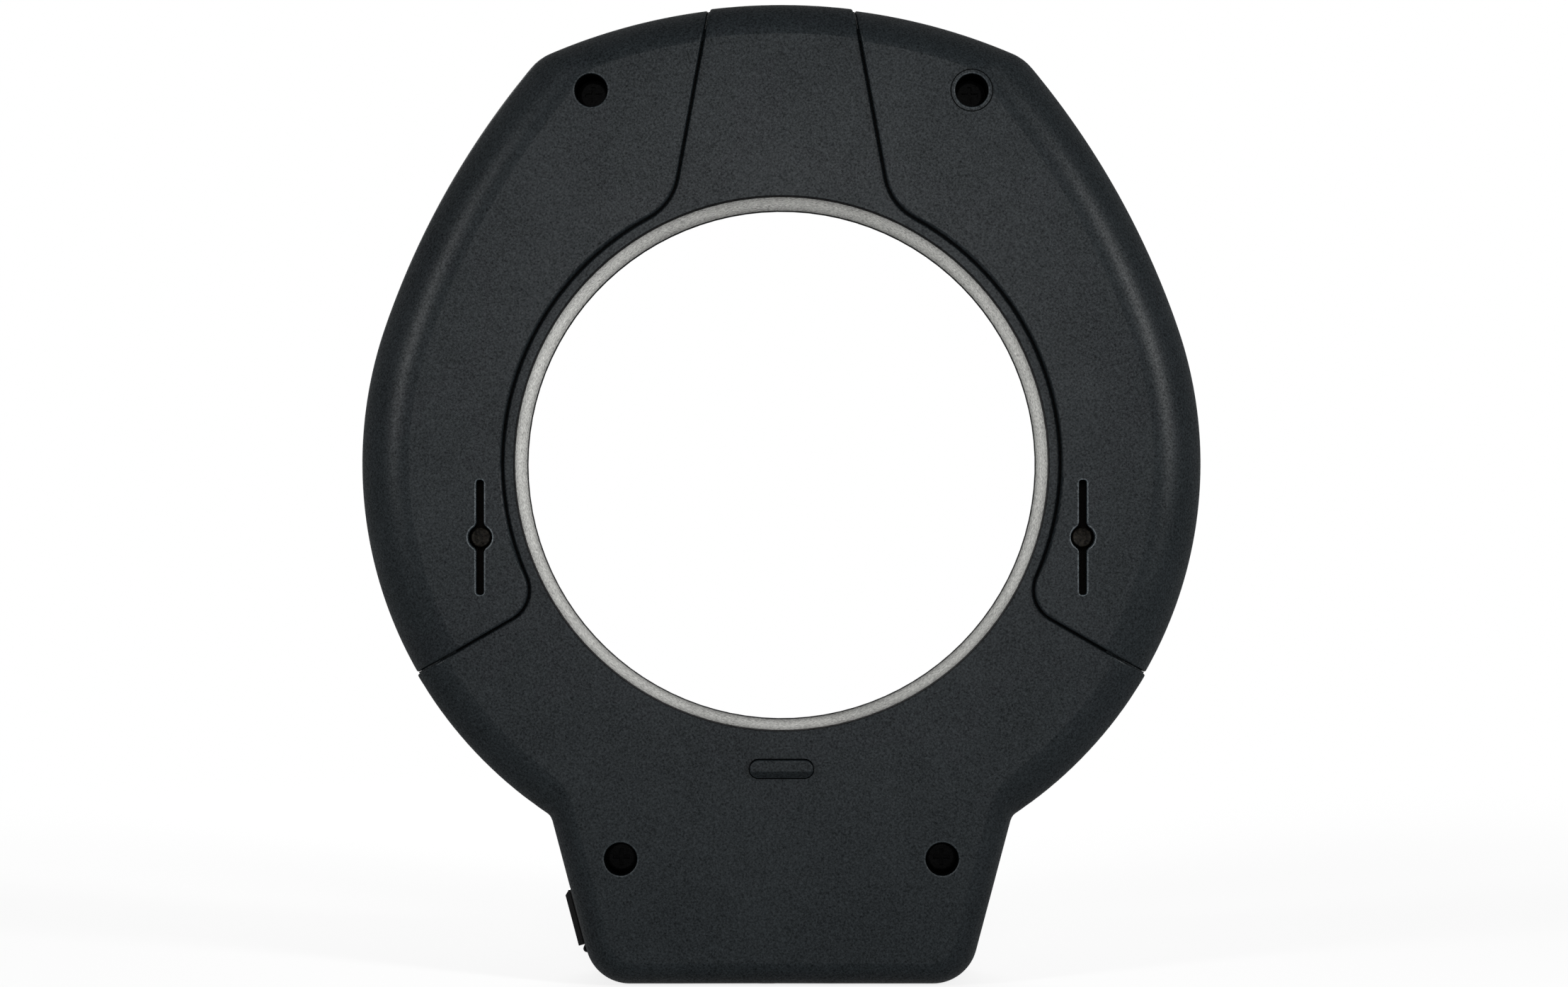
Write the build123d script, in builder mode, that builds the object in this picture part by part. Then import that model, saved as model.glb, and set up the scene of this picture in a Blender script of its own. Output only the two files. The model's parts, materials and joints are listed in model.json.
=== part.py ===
from build123d import *
import os
from math import atan2, cos, degrees, hypot, radians, sin, sqrt, tan

# Macro LED ring light, in millimetres. Seen from behind, as the photographer sees it, +X is left, +Z is up,
# and +Y points back towards the camera that it is fitted to. The light leaves the front, towards -Y. The
# origin is the centre of the lens opening, in the plane of the rear face.

# Lens opening and its sleeve
bore_radius = 41.3
liner_wall = 1.0
liner_fit_gap = 0.05
rear_lip_depth = 3.0
front_lip_depth = 2.7
cover_bore_gap = 0.35
cover_rim_wall = 1.2
collar_wall = 1.5

# Outline: a ring whose flanks open out to a wide crown, on a foot that narrows downwards
ring_width = 24.3
flank_centre_x = 59.9
flank_centre_z = -20.6
crown_rise = 5.9
crown_radius = 92.0
crown_corner_radius = 8.0
notch_radius = 2.0
foot_drop = 15.4
foot_half_width = 29.0
foot_lean = 14.85
foot_corner_radius = 7.0
least_corner_radius = 1.2
crown_corner_sharpening = 0.55
foot_corner_sharpening = 0.8

# Depths
cover_depth = 12.0
shell_depth = 17.0
panel_rise = 1.0
edge_break = 0.3

# Walls, and the widths of the rounded shoulders: side, crown, foot side, foot bottom
panel_wall = 1.6
panel_seat_gap = 0.1
cover_wall = 1.7
cover_foot_wall = 2.2
shell_wall = 2.0
panel_shoulder = (8.5, 5.8, 4.2, 3.9)
panel_shoulder_depth = 9.0
cover_shoulder = (6.0, 5.2, 4.2, 3.9)
cover_shoulder_depth = 6.0
front_shoulder = (4.0, 4.0, 4.0, 4.0)
front_shoulder_depth = 4.0
shoulder_steps = 4

# Side panels: their seam runs down from the crown, round the bore and out along a radius
seam_crown_x = 11.5
seam_crown_drop = 1.8
seam_lean = 10.4
seam_margin = 1.9
seam_radial_angle = -29.85
seam_upper_fillet = 8.6
seam_lower_fillet = 5.0
seam_gap = 0.3
panel_seam_rounding = 0.35
cover_seam_rounding = 0.3
seam_strip_inset = 0.15
seam_strip_gap = 0.06
seam_strip_drop = 3.0

# Accessory slot in each panel, with a round eye, over a trough that holds the eye's boss
slot_margin = 5.1
slot_rise = 10.1
slot_length = 17.7
slot_width = 1.22
slot_end_rounding = 0.45
slot_mouth_rounding = 0.12
eye_radius = 1.875
eye_flare_radius = 1.2
trough_half_width = 2.5
trough_wall = 0.9
trough_channel_width = 2.4
trough_eye_radius = 2.0
trough_length_margin = 1.0
trough_depth = 5.6
trough_flange_width = 1.0
trough_flange_height = 0.8
trough_fit_gap = 0.15
eye_boss_radius = 1.5

# Screws
screw_hole_radius = 2.525
screw_mouth_rounding = 0.2
screw_head_radius = 2.3
screw_head_height = 1.8
screw_head_rounding = 0.5
screw_recess_length = 2.6
screw_recess_width = 0.6
screw_recess_depth = 1.0
screw_shank_radius = 1.25
screw_shank_clearance = 0.15
panel_screw_x = 29.3
panel_screw_drop = 14.1
panel_screw_depth = 6.7
panel_cup_wall = 1.1
panel_cup_floor = 1.2
panel_cup_gap = 0.12
cover_cup_wall = 1.2
cover_screw_inset = 4.2
cover_screw_rise = 20.0
cover_screw_depth = 3.2
cover_boss_wall = 1.7
hole_ring_radius = 3.3
hole_ring_width = 0.16
hole_ring_depth = 0.12
insert_radius = 1.95
insert_length = 5.0
insert_thread_gap = 0.02
insert_sink = 0.1
shell_boss_radius = 3.6
shell_boss_pilot_radius = 1.4
shell_boss_pilot_depth = 7.0
screw_end_margin = 0.3

# Light windows and the stack behind each: reflector, LED board, LEDs and heat plate
window_inner_margin = 4.7
window_outer_margin = 7.1
window_low_angle = -58.0
window_high_angle = 68.0
window_corner_radius = 3.0
window_gap = 0.12
window_flange = 1.2
window_flange_height = 1.2
window_recess = 0.3
window_mouth_rounding = 0.25
reflector_height = 5.0
reflector_floor = 1.0
reflector_wall = 1.0
led_board_thickness = 1.6
led_count = 13
led_length = 3.5
led_width = 2.8
led_height = 0.8
led_hole_gap = 0.3
led_end_angle = 6.0
heat_plate_thickness = 2.0
heat_plate_inset = 0.6
heat_plate_low_angle = 8.0
stack_post_radius = 2.0
stack_post_angles = (-40.0, 0.0, 40.0)

# Rear push button and its switch
rear_button_margin = 5.8
rear_button_length = 9.8
rear_button_height = 2.8
rear_button_rise = 1.0
rear_button_edge = 0.25
rear_button_slope_width = 1.0
rear_button_slope_drop = 0.85
button_gap = 0.18
button_flange = 1.2
button_flange_height = 0.8
rear_stem_width = 3.0
rear_stem_height = 2.0
plunger_radius = 0.9
plunger_gap = 0.1
plunger_rise = 0.9
plunger_sink = 1.8
rear_switch_width = 6.0
rear_switch_depth = 3.6
rear_switch_height = 3.6
switch_floor = 0.9

# Front control panel
button_pitch = 11.0
button_steps = (0.5, 1.5)
button_row_rise = 8.2
button_radius = 3.0
button_rise = 0.8
button_edge = 0.4
button_mouth_rounding = 0.15
button_stem_radius = 1.2
switch_width = 4.5
switch_height = 1.8
front_plunger_rise = 0.7
front_plunger_sink = 1.0
front_switch_floor = 0.2
display_rise = 17.6
display_width = 26.0
display_height = 9.0
display_window_gap = 0.1
display_window_thickness = 1.2
display_window_recess = 0.2
display_ledge = 1.2
display_corner_radius = 1.0
display_air_gap = 0.1
control_board_inset = 9.9
control_board_top_rise = 22.2
control_board_bottom_rise = 3.4
control_board_thickness = 1.0
control_board_clearance = 4.0
control_post_radius = 1.4
control_post_side_inset = 1.7
control_post_top_inset = 1.8
control_post_bottom_inset = 1.4
header_length = 16.0
header_width = 2.5
header_rise = 12.0

# Main board in the foot
board_behind_parting = 0.4
board_thickness = 1.2
board_stem_half_width = 9.0
board_stem_margin = 3.6
board_neck_inset = 9.4
board_neck_rise = 27.4
board_foot_inset = 4.9
board_foot_top_rise = 15.2
board_foot_bottom_rise = 3.2
board_corner_radius = 1.0
board_post_radius = 1.8
board_post_upper_x = 13.5
board_post_upper_drop = 2.8
board_post_lower_inset = 2.5
board_post_lower_rise = 1.8
board_screw_radius = 0.9
board_screw_gap = 0.05
board_screw_depth = 6.0
board_screw_head_radius = 1.7
board_screw_head_height = 1.2
chip_side = 7.0
chip_height = 1.2
coil_side = 6.0
coil_height = 3.2
capacitor_radius = 2.2
capacitor_clearance = 1.0
component_drop = 6.5
coil_x = -12.0
capacitor_x = 12.0

# Battery
battery_inset = 7.4
battery_bottom_rise = 4.0
battery_clearance = 1.5
battery_corner_radius = 1.5
pad_thickness = 0.8
pad_margin = 2.0

# Ribbon cables to the LED boards
ribbon_start_x = 9.6
ribbon_start_margin = 7.1
ribbon_end_inset = 0.65
ribbon_end_turn = 0.33
ribbon_width = 4.0
ribbon_thickness = 0.3
connector_length = 2.6
connector_width = 5.2
connector_overlap = 0.4

# Power socket in the foot's left wall, and the flap that covers it
port_rise = 8.85
port_offset = 0.7
port_margin = 0.3
socket_half_height = 4.0
socket_front_gap = 0.4
socket_length = 9.0
socket_wall_gap = 0.1
socket_bore_radius = 2.8
socket_bore_depth = 7.6
socket_pin_radius = 1.05
socket_pin_recess = 0.8
socket_pin_seat = 1.0
flap_half_length = 5.15
flap_stand_off = 0.1
flap_thickness = 1.7
flap_bevel = 0.7
flap_edge = 0.2
hinge_radius = 0.6
hinge_wall_gap = 0.05
hinge_ear_depth = 1.2
hinge_side_gap = 0.1
hinge_sweep_gap = 0.15
hinge_web_half_height = 0.3
hinge_pin_radius = 0.4
hinge_pin_gap = 0.04
hinge_pin_seat_gap = 0.02
ear_root = 0.6
seal_radius = 3.3
seal_depth = 0.9

# Small overlap with which a boss or post is rooted in its own wall, and overrun of a cut past a face
root = 0.5
overrun = 1.0
seam_tolerance = 0.01
least_rim_length = 0.05

# Places in the outline
ring_radius = bore_radius + ring_width
crown_top_z = ring_radius + crown_rise
crown_centre_z = crown_top_z - crown_radius
foot_bottom_z = -(ring_radius + foot_drop)
seam_crown_z = crown_top_z - seam_crown_drop
seam_radius = bore_radius + seam_margin
slot_x = bore_radius + slot_margin
slot_z = seam_radius * sin(radians(seam_radial_angle)) + slot_rise
window_inner_radius = bore_radius + window_inner_margin
window_outer_radius = ring_radius - window_outer_margin
stack_radius = (window_inner_radius + window_outer_radius) / 2
panel_screw_z = crown_top_z - panel_screw_drop
cover_screw_x = foot_half_width - cover_screw_inset
cover_screw_z = foot_bottom_z + cover_screw_rise
rear_button_z = -(bore_radius + rear_button_margin)
button_row_z = foot_bottom_z + button_row_rise
display_z = foot_bottom_z + display_rise
control_board_half_width = foot_half_width - control_board_inset
control_board_top_z = foot_bottom_z + control_board_top_rise
control_board_bottom_z = foot_bottom_z + control_board_bottom_rise
control_post_upper_x = control_board_half_width - control_post_side_inset
control_post_upper = (control_post_upper_x, control_board_top_z - control_post_top_inset)
control_post_lower = (button_pitch, control_board_bottom_z + control_post_bottom_inset)
header_z = foot_bottom_z + header_rise
board_stem_top_z = -(bore_radius + board_stem_margin)
board_neck_half_width = foot_half_width - board_neck_inset
board_neck_top_z = foot_bottom_z + board_neck_rise
board_foot_half_width = foot_half_width - board_foot_inset
board_foot_top_z = foot_bottom_z + board_foot_top_rise
board_foot_bottom_z = foot_bottom_z + board_foot_bottom_rise
board_post_upper = (board_post_upper_x, board_neck_top_z - board_post_upper_drop)
board_post_lower_x = board_foot_half_width - board_post_lower_inset
board_post_lower = (board_post_lower_x, board_foot_bottom_z + board_post_lower_rise)
component_z = board_neck_top_z - component_drop
battery_half_width = foot_half_width - battery_inset
battery_bottom_z = foot_bottom_z + battery_bottom_rise
port_z = foot_bottom_z + port_rise

# Planes of the stack, from the back to the front
panel_face_y = panel_rise
panel_lining_y = panel_face_y - panel_wall
panel_bed_y = panel_lining_y - panel_seat_gap
cover_inner_y = panel_bed_y - cover_wall
parting_y = -cover_depth
body_depth = cover_depth + shell_depth
front_face_y = -body_depth
shell_inner_y = front_face_y + shell_wall
window_front_y = front_face_y + window_recess
window_back_y = shell_inner_y + window_flange_height
reflector_back_y = window_back_y + reflector_height + reflector_floor
led_board_back_y = reflector_back_y + led_board_thickness
heat_plate_back_y = led_board_back_y + heat_plate_thickness
board_back_y = parting_y - board_behind_parting
board_front_y = board_back_y - board_thickness
control_front_y = shell_inner_y + control_board_clearance
control_back_y = control_front_y + control_board_thickness
panel_seat_y = panel_face_y - panel_screw_depth - screw_head_height
panel_cup_end_y = panel_seat_y - panel_cup_floor
cover_seat_y = -cover_screw_depth - screw_head_height
board_head_y = board_back_y + board_screw_head_height
battery_back_y = cover_inner_y - pad_thickness
front_wall_y = front_face_y + front_shoulder_depth
socket_half_depth = (board_front_y - front_wall_y - socket_front_gap) / 2
seam_slope = tan(radians(seam_lean))
foot_slope = tan(radians(foot_lean))
screw_clear_radius = screw_shank_radius + screw_shank_clearance
sides = (1, -1)


def face_plane(y):
    """The upright plane at depth y: its own x is X, its own y is Z, and extrusions run towards the front."""
    return Plane.XZ.offset(-y)


def from_behind(x, y, z):
    """A place on a rear-facing surface, for holes that are bored from behind."""
    return Location(Plane((x, y, z), x_dir=(-1, 0, 0), z_dir=(0, 1, 0)))


def from_front(x, y, z):
    """A place on a front-facing surface, for holes that are bored from the front."""
    return Location(Plane((x, y, z), x_dir=(1, 0, 0), z_dir=(0, -1, 0)))


def polar(radius, angle):
    return (radius * cos(radians(angle)), radius * sin(radians(angle)))


def both(place):
    """The same place left and right."""
    return [(side * place[0], place[1]) for side in sides]


def on_arc(centre, radius, start, end):
    """The middle of the arc from start to end about centre."""
    turns = [degrees(atan2(z - centre[1], x - centre[0])) for x, z in (start, end)]
    x, z = polar(radius, sum(turns) / 2)
    return (centre[0] + x, centre[1] + z)


def where_circles_meet(centre_a, radius_a, centre_b, radius_b):
    """The meeting point that lies to the right of the line from centre a to centre b."""
    gap = hypot(centre_b[0] - centre_a[0], centre_b[1] - centre_a[1])
    ux, uz = (centre_b[0] - centre_a[0]) / gap, (centre_b[1] - centre_a[1]) / gap
    along = (radius_a**2 - radius_b**2 + gap**2) / (2 * gap)
    across = sqrt(radius_a**2 - along**2)
    return (centre_a[0] + ux * along - uz * across, centre_a[1] + uz * along + ux * across)


def where_line_meets_circle(slope, offset, radius, upper):
    """Where the line x = slope z + offset meets a circle about the bore, at its upper or lower crossing."""
    a = slope**2 + 1
    root_term = sqrt((slope * offset) ** 2 - a * (offset**2 - radius**2))
    z = (-slope * offset + (root_term if upper else -root_term)) / a
    return (slope * z + offset, z)


def nearest(vertices, place):
    return min(vertices, key=lambda vertex: hypot(vertex.X - place[0], vertex.Y - place[1]))


def outline_face(insets):
    """The outline from behind, drawn in by its own amount at the side, crown, foot side and foot bottom."""
    side, crown, foot, bottom = insets
    ring = ring_radius - side
    reach = hypot(flank_centre_x, flank_centre_z)
    flank = ring_radius + reach - side
    flank_centre = (-flank_centre_x, flank_centre_z)
    crown_centre = (0, crown_centre_z)
    foot_offset = foot_half_width - foot_bottom_z * foot_slope - foot * hypot(1, foot_slope)
    bottom_z = foot_bottom_z + bottom
    heel = (foot_slope * bottom_z + foot_offset, bottom_z)
    notch = where_line_meets_circle(foot_slope, foot_offset, ring, upper=False)
    joining = (ring * flank_centre_x / reach, -ring * flank_centre_z / reach)
    corner = where_circles_meet(flank_centre, flank, crown_centre, crown_radius - crown)
    top = (0, crown_centre_z + crown_radius - crown)
    corner_radius = max(crown_corner_radius - crown_corner_sharpening * side, least_corner_radius)
    heel_radius = max(foot_corner_radius - foot_corner_sharpening * bottom, least_corner_radius)
    with BuildSketch() as face:
        with BuildLine():
            Polyline((0, bottom_z), heel, notch)
            ThreePointArc(notch, on_arc((0, 0), ring, notch, joining), joining)
            ThreePointArc(joining, on_arc(flank_centre, flank, joining, corner), corner)
            ThreePointArc(corner, on_arc(crown_centre, crown_radius - crown, corner, top), top)
            mirror(about=Plane.YZ)
        make_face()
        for place, radius in ((corner, corner_radius), (notch, notch_radius + side), (heel, heel_radius)):
            fillet([nearest(face.vertices(), spot) for spot in both(place)], radius)
    return face.sketch


def shouldered_block(flat_y, wall_y, end_y, insets, widths, broken_edge=0.0):
    """A solid with the outline's walls from end_y to wall_y, and rounded over from there to its face."""
    with BuildPart() as block:
        for step in range(shoulder_steps + 1):
            turn = radians(90 * step / shoulder_steps)
            with BuildSketch(face_plane(wall_y + (flat_y - wall_y) * sin(turn))):
                add(outline_face([inset + width * (1 - cos(turn)) for inset, width in zip(insets, widths)]))
        loft()
        with BuildSketch(face_plane(wall_y)):
            add(outline_face(insets))
        extrude(amount=wall_y - end_y)
        if broken_edge > 0:
            ends = block.edges().group_by(Axis.Y)
            chamfer(ends[0] if flat_y > wall_y else ends[-1], broken_edge)
    return block.part


def lining(widths, walls):
    """The shoulder widths of a surface that lies inside another by the wall thickness."""
    return [width - wall for width, wall in zip(widths, walls)]


def crescent(inner, outer, low, high, corner):
    """A C-shaped face about the bore on the +X side, between two radii and two angles."""
    with BuildSketch() as face:
        with BuildLine():
            CenterArc((0, 0), outer, low, high - low)
            CenterArc((0, 0), inner, low, high - low)
            for angle in (low, high):
                Line(polar(inner, angle), polar(outer, angle))
        make_face()
        fillet(face.vertices(), corner)
    return face.sketch


def window_area(grow, low_trim=0.0):
    """The light window's face, grown all round, and cut short at its low end where asked."""
    spread = degrees(grow / stack_radius)
    corner = window_corner_radius + grow
    low, high = window_low_angle - spread + low_trim, window_high_angle + spread
    return crescent(window_inner_radius - grow, window_outer_radius + grow, low, high, corner)


def seam_rims(body, area):
    """The edges of a body's outer surface that run along the seam, left and right."""
    wire = area.faces()[0].outer_wire()
    rims = []
    for edge in body.edges():
        places = [edge.position_at(share) for share in (0, 0.5, 1)]
        on_seam = all(wire.distance_to(Vertex(abs(place.X), place.Z, 0)) < seam_tolerance for place in places)
        runs_level = hypot(places[0].X - places[2].X, places[0].Z - places[2].Z) > least_rim_length
        if on_seam and runs_level and places[1].Y > parting_y + overrun:
            rims.append(edge)
    return rims


def mouth(body, face_y, place, reach):
    """The edges of a body that lie in the plane at face_y, all within reach of a place."""
    found = []
    for edge in body.edges():
        spots = [edge.position_at(share / 4) for share in range(5)]
        level = all(abs(spot.Y - face_y) < seam_tolerance for spot in spots)
        if level and all(hypot(spot.X - place[0], spot.Z - place[1]) < reach + seam_tolerance for spot in spots):
            found.append(edge)
    return found


def off_bore(edge):
    """Whether an edge lies outside the lens opening's own rim."""
    return min(hypot(edge.position_at(share).X, edge.position_at(share).Z) for share in (0, 0.5)) > bore_radius + root


def round_bar(face_y, length, places, radius):
    """Round bars of one radius that run forwards from face_y."""
    with BuildPart() as bars:
        with BuildSketch(face_plane(face_y)):
            with Locations(*places):
                Circle(radius)
        extrude(amount=length)
    return bars.part


# The seam's region on the +X side: inside it lies the raised side panel
seam_offset = seam_crown_x + seam_crown_z * seam_slope
seam_upper = where_line_meets_circle(-seam_slope, seam_offset, seam_radius, upper=True)
seam_lower = polar(seam_radius, seam_radial_angle)
far = 2 * ring_radius
with BuildSketch() as panel_area:
    with BuildLine():
        Line((seam_offset - far * seam_slope, far), seam_upper)
        ThreePointArc(seam_upper, on_arc((0, 0), seam_radius, seam_upper, seam_lower), seam_lower)
        Polyline(seam_lower, polar(far, seam_radial_angle), (far, far), (seam_offset - far * seam_slope, far))
    make_face()
    fillet(nearest(panel_area.vertices(), seam_upper), seam_upper_fillet)
    fillet(nearest(panel_area.vertices(), seam_lower), seam_lower_fillet)

# Blocks that the shells are cut from
whole = (0.0, 0.0, 0.0, 0.0)
panel_walls = (panel_wall,) * 4
bed_walls = (panel_wall + panel_seat_gap,) * 4
side_wall = panel_wall + panel_seat_gap + cover_wall
cover_walls = (side_wall, side_wall, cover_foot_wall, cover_foot_wall)
shell_walls = (shell_wall,) * 4
panel_wall_y = panel_face_y - panel_shoulder_depth
cover_wall_y = -cover_shoulder_depth
panel_block = shouldered_block(panel_face_y, panel_wall_y, parting_y, whole, panel_shoulder, edge_break)
panel_hollow = shouldered_block(
    panel_lining_y, panel_wall_y, parting_y - overrun, panel_walls, lining(panel_shoulder, panel_walls)
)
bed_shoulder = lining(panel_shoulder, bed_walls)
panel_bed = shouldered_block(panel_bed_y, panel_wall_y, parting_y, bed_walls, bed_shoulder)
cover_block = shouldered_block(0, cover_wall_y, parting_y, whole, cover_shoulder, edge_break)
cover_hollow = shouldered_block(
    cover_inner_y, panel_wall_y, parting_y - overrun, cover_walls, lining(panel_shoulder, cover_walls)
)
shell_block = shouldered_block(front_face_y, front_wall_y, parting_y, whole, front_shoulder, edge_break)
shell_hollow = shouldered_block(
    shell_inner_y, front_wall_y, parting_y + overrun, shell_walls, lining(front_shoulder, shell_walls)
)

# Side panels
with BuildPart() as left_side_panel:
    with BuildSketch(face_plane(panel_face_y)):
        add(panel_area.sketch)
    extrude(amount=panel_face_y - parting_y)
    add(panel_block, mode=Mode.INTERSECT)
    fillet(seam_rims(left_side_panel, panel_area.sketch), panel_seam_rounding)
    add(panel_hollow, mode=Mode.SUBTRACT)
    cup_radius = screw_hole_radius + panel_cup_wall
    cup_root_y = panel_lining_y + root
    add(round_bar(cup_root_y, cup_root_y - panel_cup_end_y, [(panel_screw_x, panel_screw_z)], cup_radius))
    with Locations(from_behind(panel_screw_x, panel_face_y, panel_screw_z)):
        CounterBoreHole(
            screw_clear_radius,
            screw_hole_radius,
            counter_bore_depth=panel_face_y - panel_seat_y,
            depth=panel_face_y - panel_cup_end_y + overrun,
        )
    with BuildSketch(face_plane(panel_face_y)) as slot_face:
        with Locations((slot_x, slot_z)):
            RectangleRounded(slot_width, slot_length, slot_end_rounding)
            Circle(eye_radius)
        flare_height = sqrt(eye_radius**2 - (slot_width / 2) ** 2)
        flare_spots = [
            (slot_x + side * slot_width / 2, slot_z + end * flare_height) for side in sides for end in sides
        ]
        fillet([nearest(slot_face.vertices(), spot) for spot in flare_spots], eye_flare_radius)
    extrude(amount=panel_wall + overrun, mode=Mode.SUBTRACT)
    panel_screw_place, slot_place = (panel_screw_x, panel_screw_z), (slot_x, slot_z)
    fillet(mouth(left_side_panel, panel_face_y, panel_screw_place, screw_hole_radius), screw_mouth_rounding)
    fillet(mouth(left_side_panel, panel_face_y, slot_place, slot_length / 2), slot_mouth_rounding)

with BuildPart() as right_side_panel:
    mirror(left_side_panel.part, about=Plane.YZ)
    with BuildSketch(face_plane(panel_face_y)):
        with Locations((-panel_screw_x, panel_screw_z)):
            Circle(hole_ring_radius)
            Circle(hole_ring_radius - hole_ring_width, mode=Mode.SUBTRACT)
    extrude(amount=hole_ring_depth, mode=Mode.SUBTRACT)

# Outer skin of the back cover, with the sunken beds on which the panels lie
with BuildSketch() as bed_area:
    add(panel_area.sketch)
    offset(amount=seam_gap)

with BuildPart() as bed_prism:
    with BuildSketch(face_plane(panel_face_y + overrun)):
        add(bed_area.sketch)
    extrude(amount=panel_face_y - parting_y + 2 * overrun)

with BuildPart() as left_bed:
    add(bed_prism.part)
    add(panel_bed, mode=Mode.INTERSECT)

# Strip that fills the seam's gap just below the surface where it runs out over the body's side
strip_walls = (seam_strip_inset,) * 4
with BuildSketch() as clear_area:
    add(panel_area.sketch)
    offset(amount=seam_strip_gap)

with BuildSketch() as strip_area:
    add(bed_area.sketch)
    add(clear_area.sketch, mode=Mode.SUBTRACT)

with BuildPart() as left_strip:
    with BuildSketch(face_plane(panel_face_y - seam_strip_drop)):
        add(strip_area.sketch)
    extrude(amount=panel_face_y - seam_strip_drop - parting_y)
    strip_shoulder = lining(panel_shoulder, strip_walls)
    add(shouldered_block(panel_face_y, panel_wall_y, parting_y, strip_walls, strip_shoulder), mode=Mode.INTERSECT)

with BuildPart() as cover_skin:
    add(cover_block)
    add(bed_prism.part, mode=Mode.SUBTRACT)
    add(mirror(bed_prism.part, about=Plane.YZ), mode=Mode.SUBTRACT)
    fillet(seam_rims(cover_skin, bed_area.sketch), cover_seam_rounding)
    for piece in (left_bed, left_strip):
        add(piece.part)
        mirror(piece.part, about=Plane.YZ)

# Accessory slot trough, with the boss that shows in the slot's eye
trough_length = slot_length + 2 * trough_length_margin
trough_flange_y = panel_bed_y - trough_flange_height
with BuildPart() as left_slot_insert:
    with BuildSketch(face_plane(panel_bed_y)):
        with Locations((slot_x, slot_z)):
            Rectangle(2 * trough_half_width, trough_length + 2 * trough_flange_width)
    extrude(amount=trough_flange_height)
    with BuildSketch(face_plane(trough_flange_y)):
        with Locations((slot_x, slot_z)):
            Rectangle(2 * trough_half_width, trough_length)
    extrude(amount=trough_depth)
    with BuildSketch(face_plane(panel_bed_y)):
        with Locations((slot_x, slot_z)):
            Rectangle(trough_channel_width, trough_length - 2 * trough_wall)
            Circle(trough_eye_radius)
            Circle(eye_boss_radius, mode=Mode.SUBTRACT)
    extrude(amount=trough_flange_height + trough_depth - trough_wall, mode=Mode.SUBTRACT)

with BuildPart() as right_slot_insert:
    mirror(left_slot_insert.part, about=Plane.YZ)

# Back cover
cover_bore_radius = bore_radius + liner_wall + cover_bore_gap
stack_places = [place for angle in stack_post_angles for place in both(polar(stack_radius, angle))]
panel_screw_places = both((panel_screw_x, panel_screw_z))
cover_screw_places = both((cover_screw_x, cover_screw_z))
cup_hole_radius = cup_radius + panel_cup_gap
root_y = cover_inner_y + root
with BuildPart() as back_cover:
    add(cover_skin.part)
    add(cover_hollow, mode=Mode.SUBTRACT)
    add(round_bar(root_y, root_y - parting_y, [(0, 0)], cover_bore_radius + cover_rim_wall))
    add(round_bar(root_y, root_y - parting_y, panel_screw_places, cup_hole_radius + cover_cup_wall))
    add(round_bar(root_y, root_y - parting_y, cover_screw_places, screw_hole_radius + cover_boss_wall))
    add(round_bar(root_y, root_y - heat_plate_back_y, stack_places, stack_post_radius))
    with Locations(from_behind(0, overrun, 0)):
        Hole(bore_radius)
    add(round_bar(-rear_lip_depth, body_depth, [(0, 0)], cover_bore_radius), mode=Mode.SUBTRACT)
    with Locations(*[from_behind(x, panel_face_y, z) for x, z in panel_screw_places]):
        cup_hole_depth = panel_face_y - panel_cup_end_y + panel_seat_gap
        CounterBoreHole(screw_clear_radius, cup_hole_radius, cup_hole_depth, body_depth)
    with Locations(*[from_behind(x, 0, z) for x, z in cover_screw_places]):
        CounterBoreHole(screw_clear_radius, screw_hole_radius, -cover_seat_y, body_depth)
    for place in cover_screw_places:
        fillet(mouth(back_cover, 0, place, screw_hole_radius), screw_mouth_rounding)
    for flange, cut_y in ((trough_flange_width, trough_flange_y), (0, cover_inner_y - overrun)):
        hole_length = trough_length + 2 * (flange + trough_fit_gap)
        with BuildSketch(face_plane(overrun)):
            with Locations(*both((slot_x, slot_z))):
                Rectangle(2 * (trough_half_width + trough_fit_gap), hole_length)
        extrude(amount=overrun - cut_y, mode=Mode.SUBTRACT)
    with BuildSketch(face_plane(overrun)):
        with Locations((0, rear_button_z)):
            SlotOverall(rear_button_length + 2 * button_gap, rear_button_height + 2 * button_gap)
    extrude(amount=overrun - cover_inner_y + overrun, mode=Mode.SUBTRACT)

# Sleeve in the lens opening, held between the back cover's lip and the front shell's
liner_front_y = front_lip_depth - body_depth
with BuildPart() as bore_liner:
    with BuildSketch(face_plane(-rear_lip_depth)):
        Circle(bore_radius + liner_wall)
        Circle(bore_radius, mode=Mode.SUBTRACT)
    extrude(amount=-rear_lip_depth - liner_front_y)

# Socket port: a plane on the foot's left wall, u up the wall and n out of it
wall_up = (sin(radians(foot_lean)), 0, cos(radians(foot_lean)))
wall_out = (cos(radians(foot_lean)), 0, -sin(radians(foot_lean)))
port_x = foot_half_width + (port_z - foot_bottom_z) * foot_slope
port_y = board_front_y - socket_half_depth
hinge_u = -flap_half_length + hinge_radius
hinge_n = hinge_wall_gap + hinge_radius
ear_inner = socket_half_depth - hinge_ear_depth


def port_plane(n):
    """The plane n outside the foot's left wall, parallel to it: x runs up the wall, and y to the front."""
    shift = [n * out for out in wall_out]
    return Plane((port_x + shift[0], port_y, port_z + shift[2]), x_dir=wall_up, z_dir=wall_out)


def flap_section(offset_y):
    """The plane of the flap's cross-section: x runs up the wall, y out of it, and extrusions to the back."""
    return Plane((port_x, port_y + offset_y, port_z), x_dir=wall_up, z_dir=(0, 1, 0))


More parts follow.
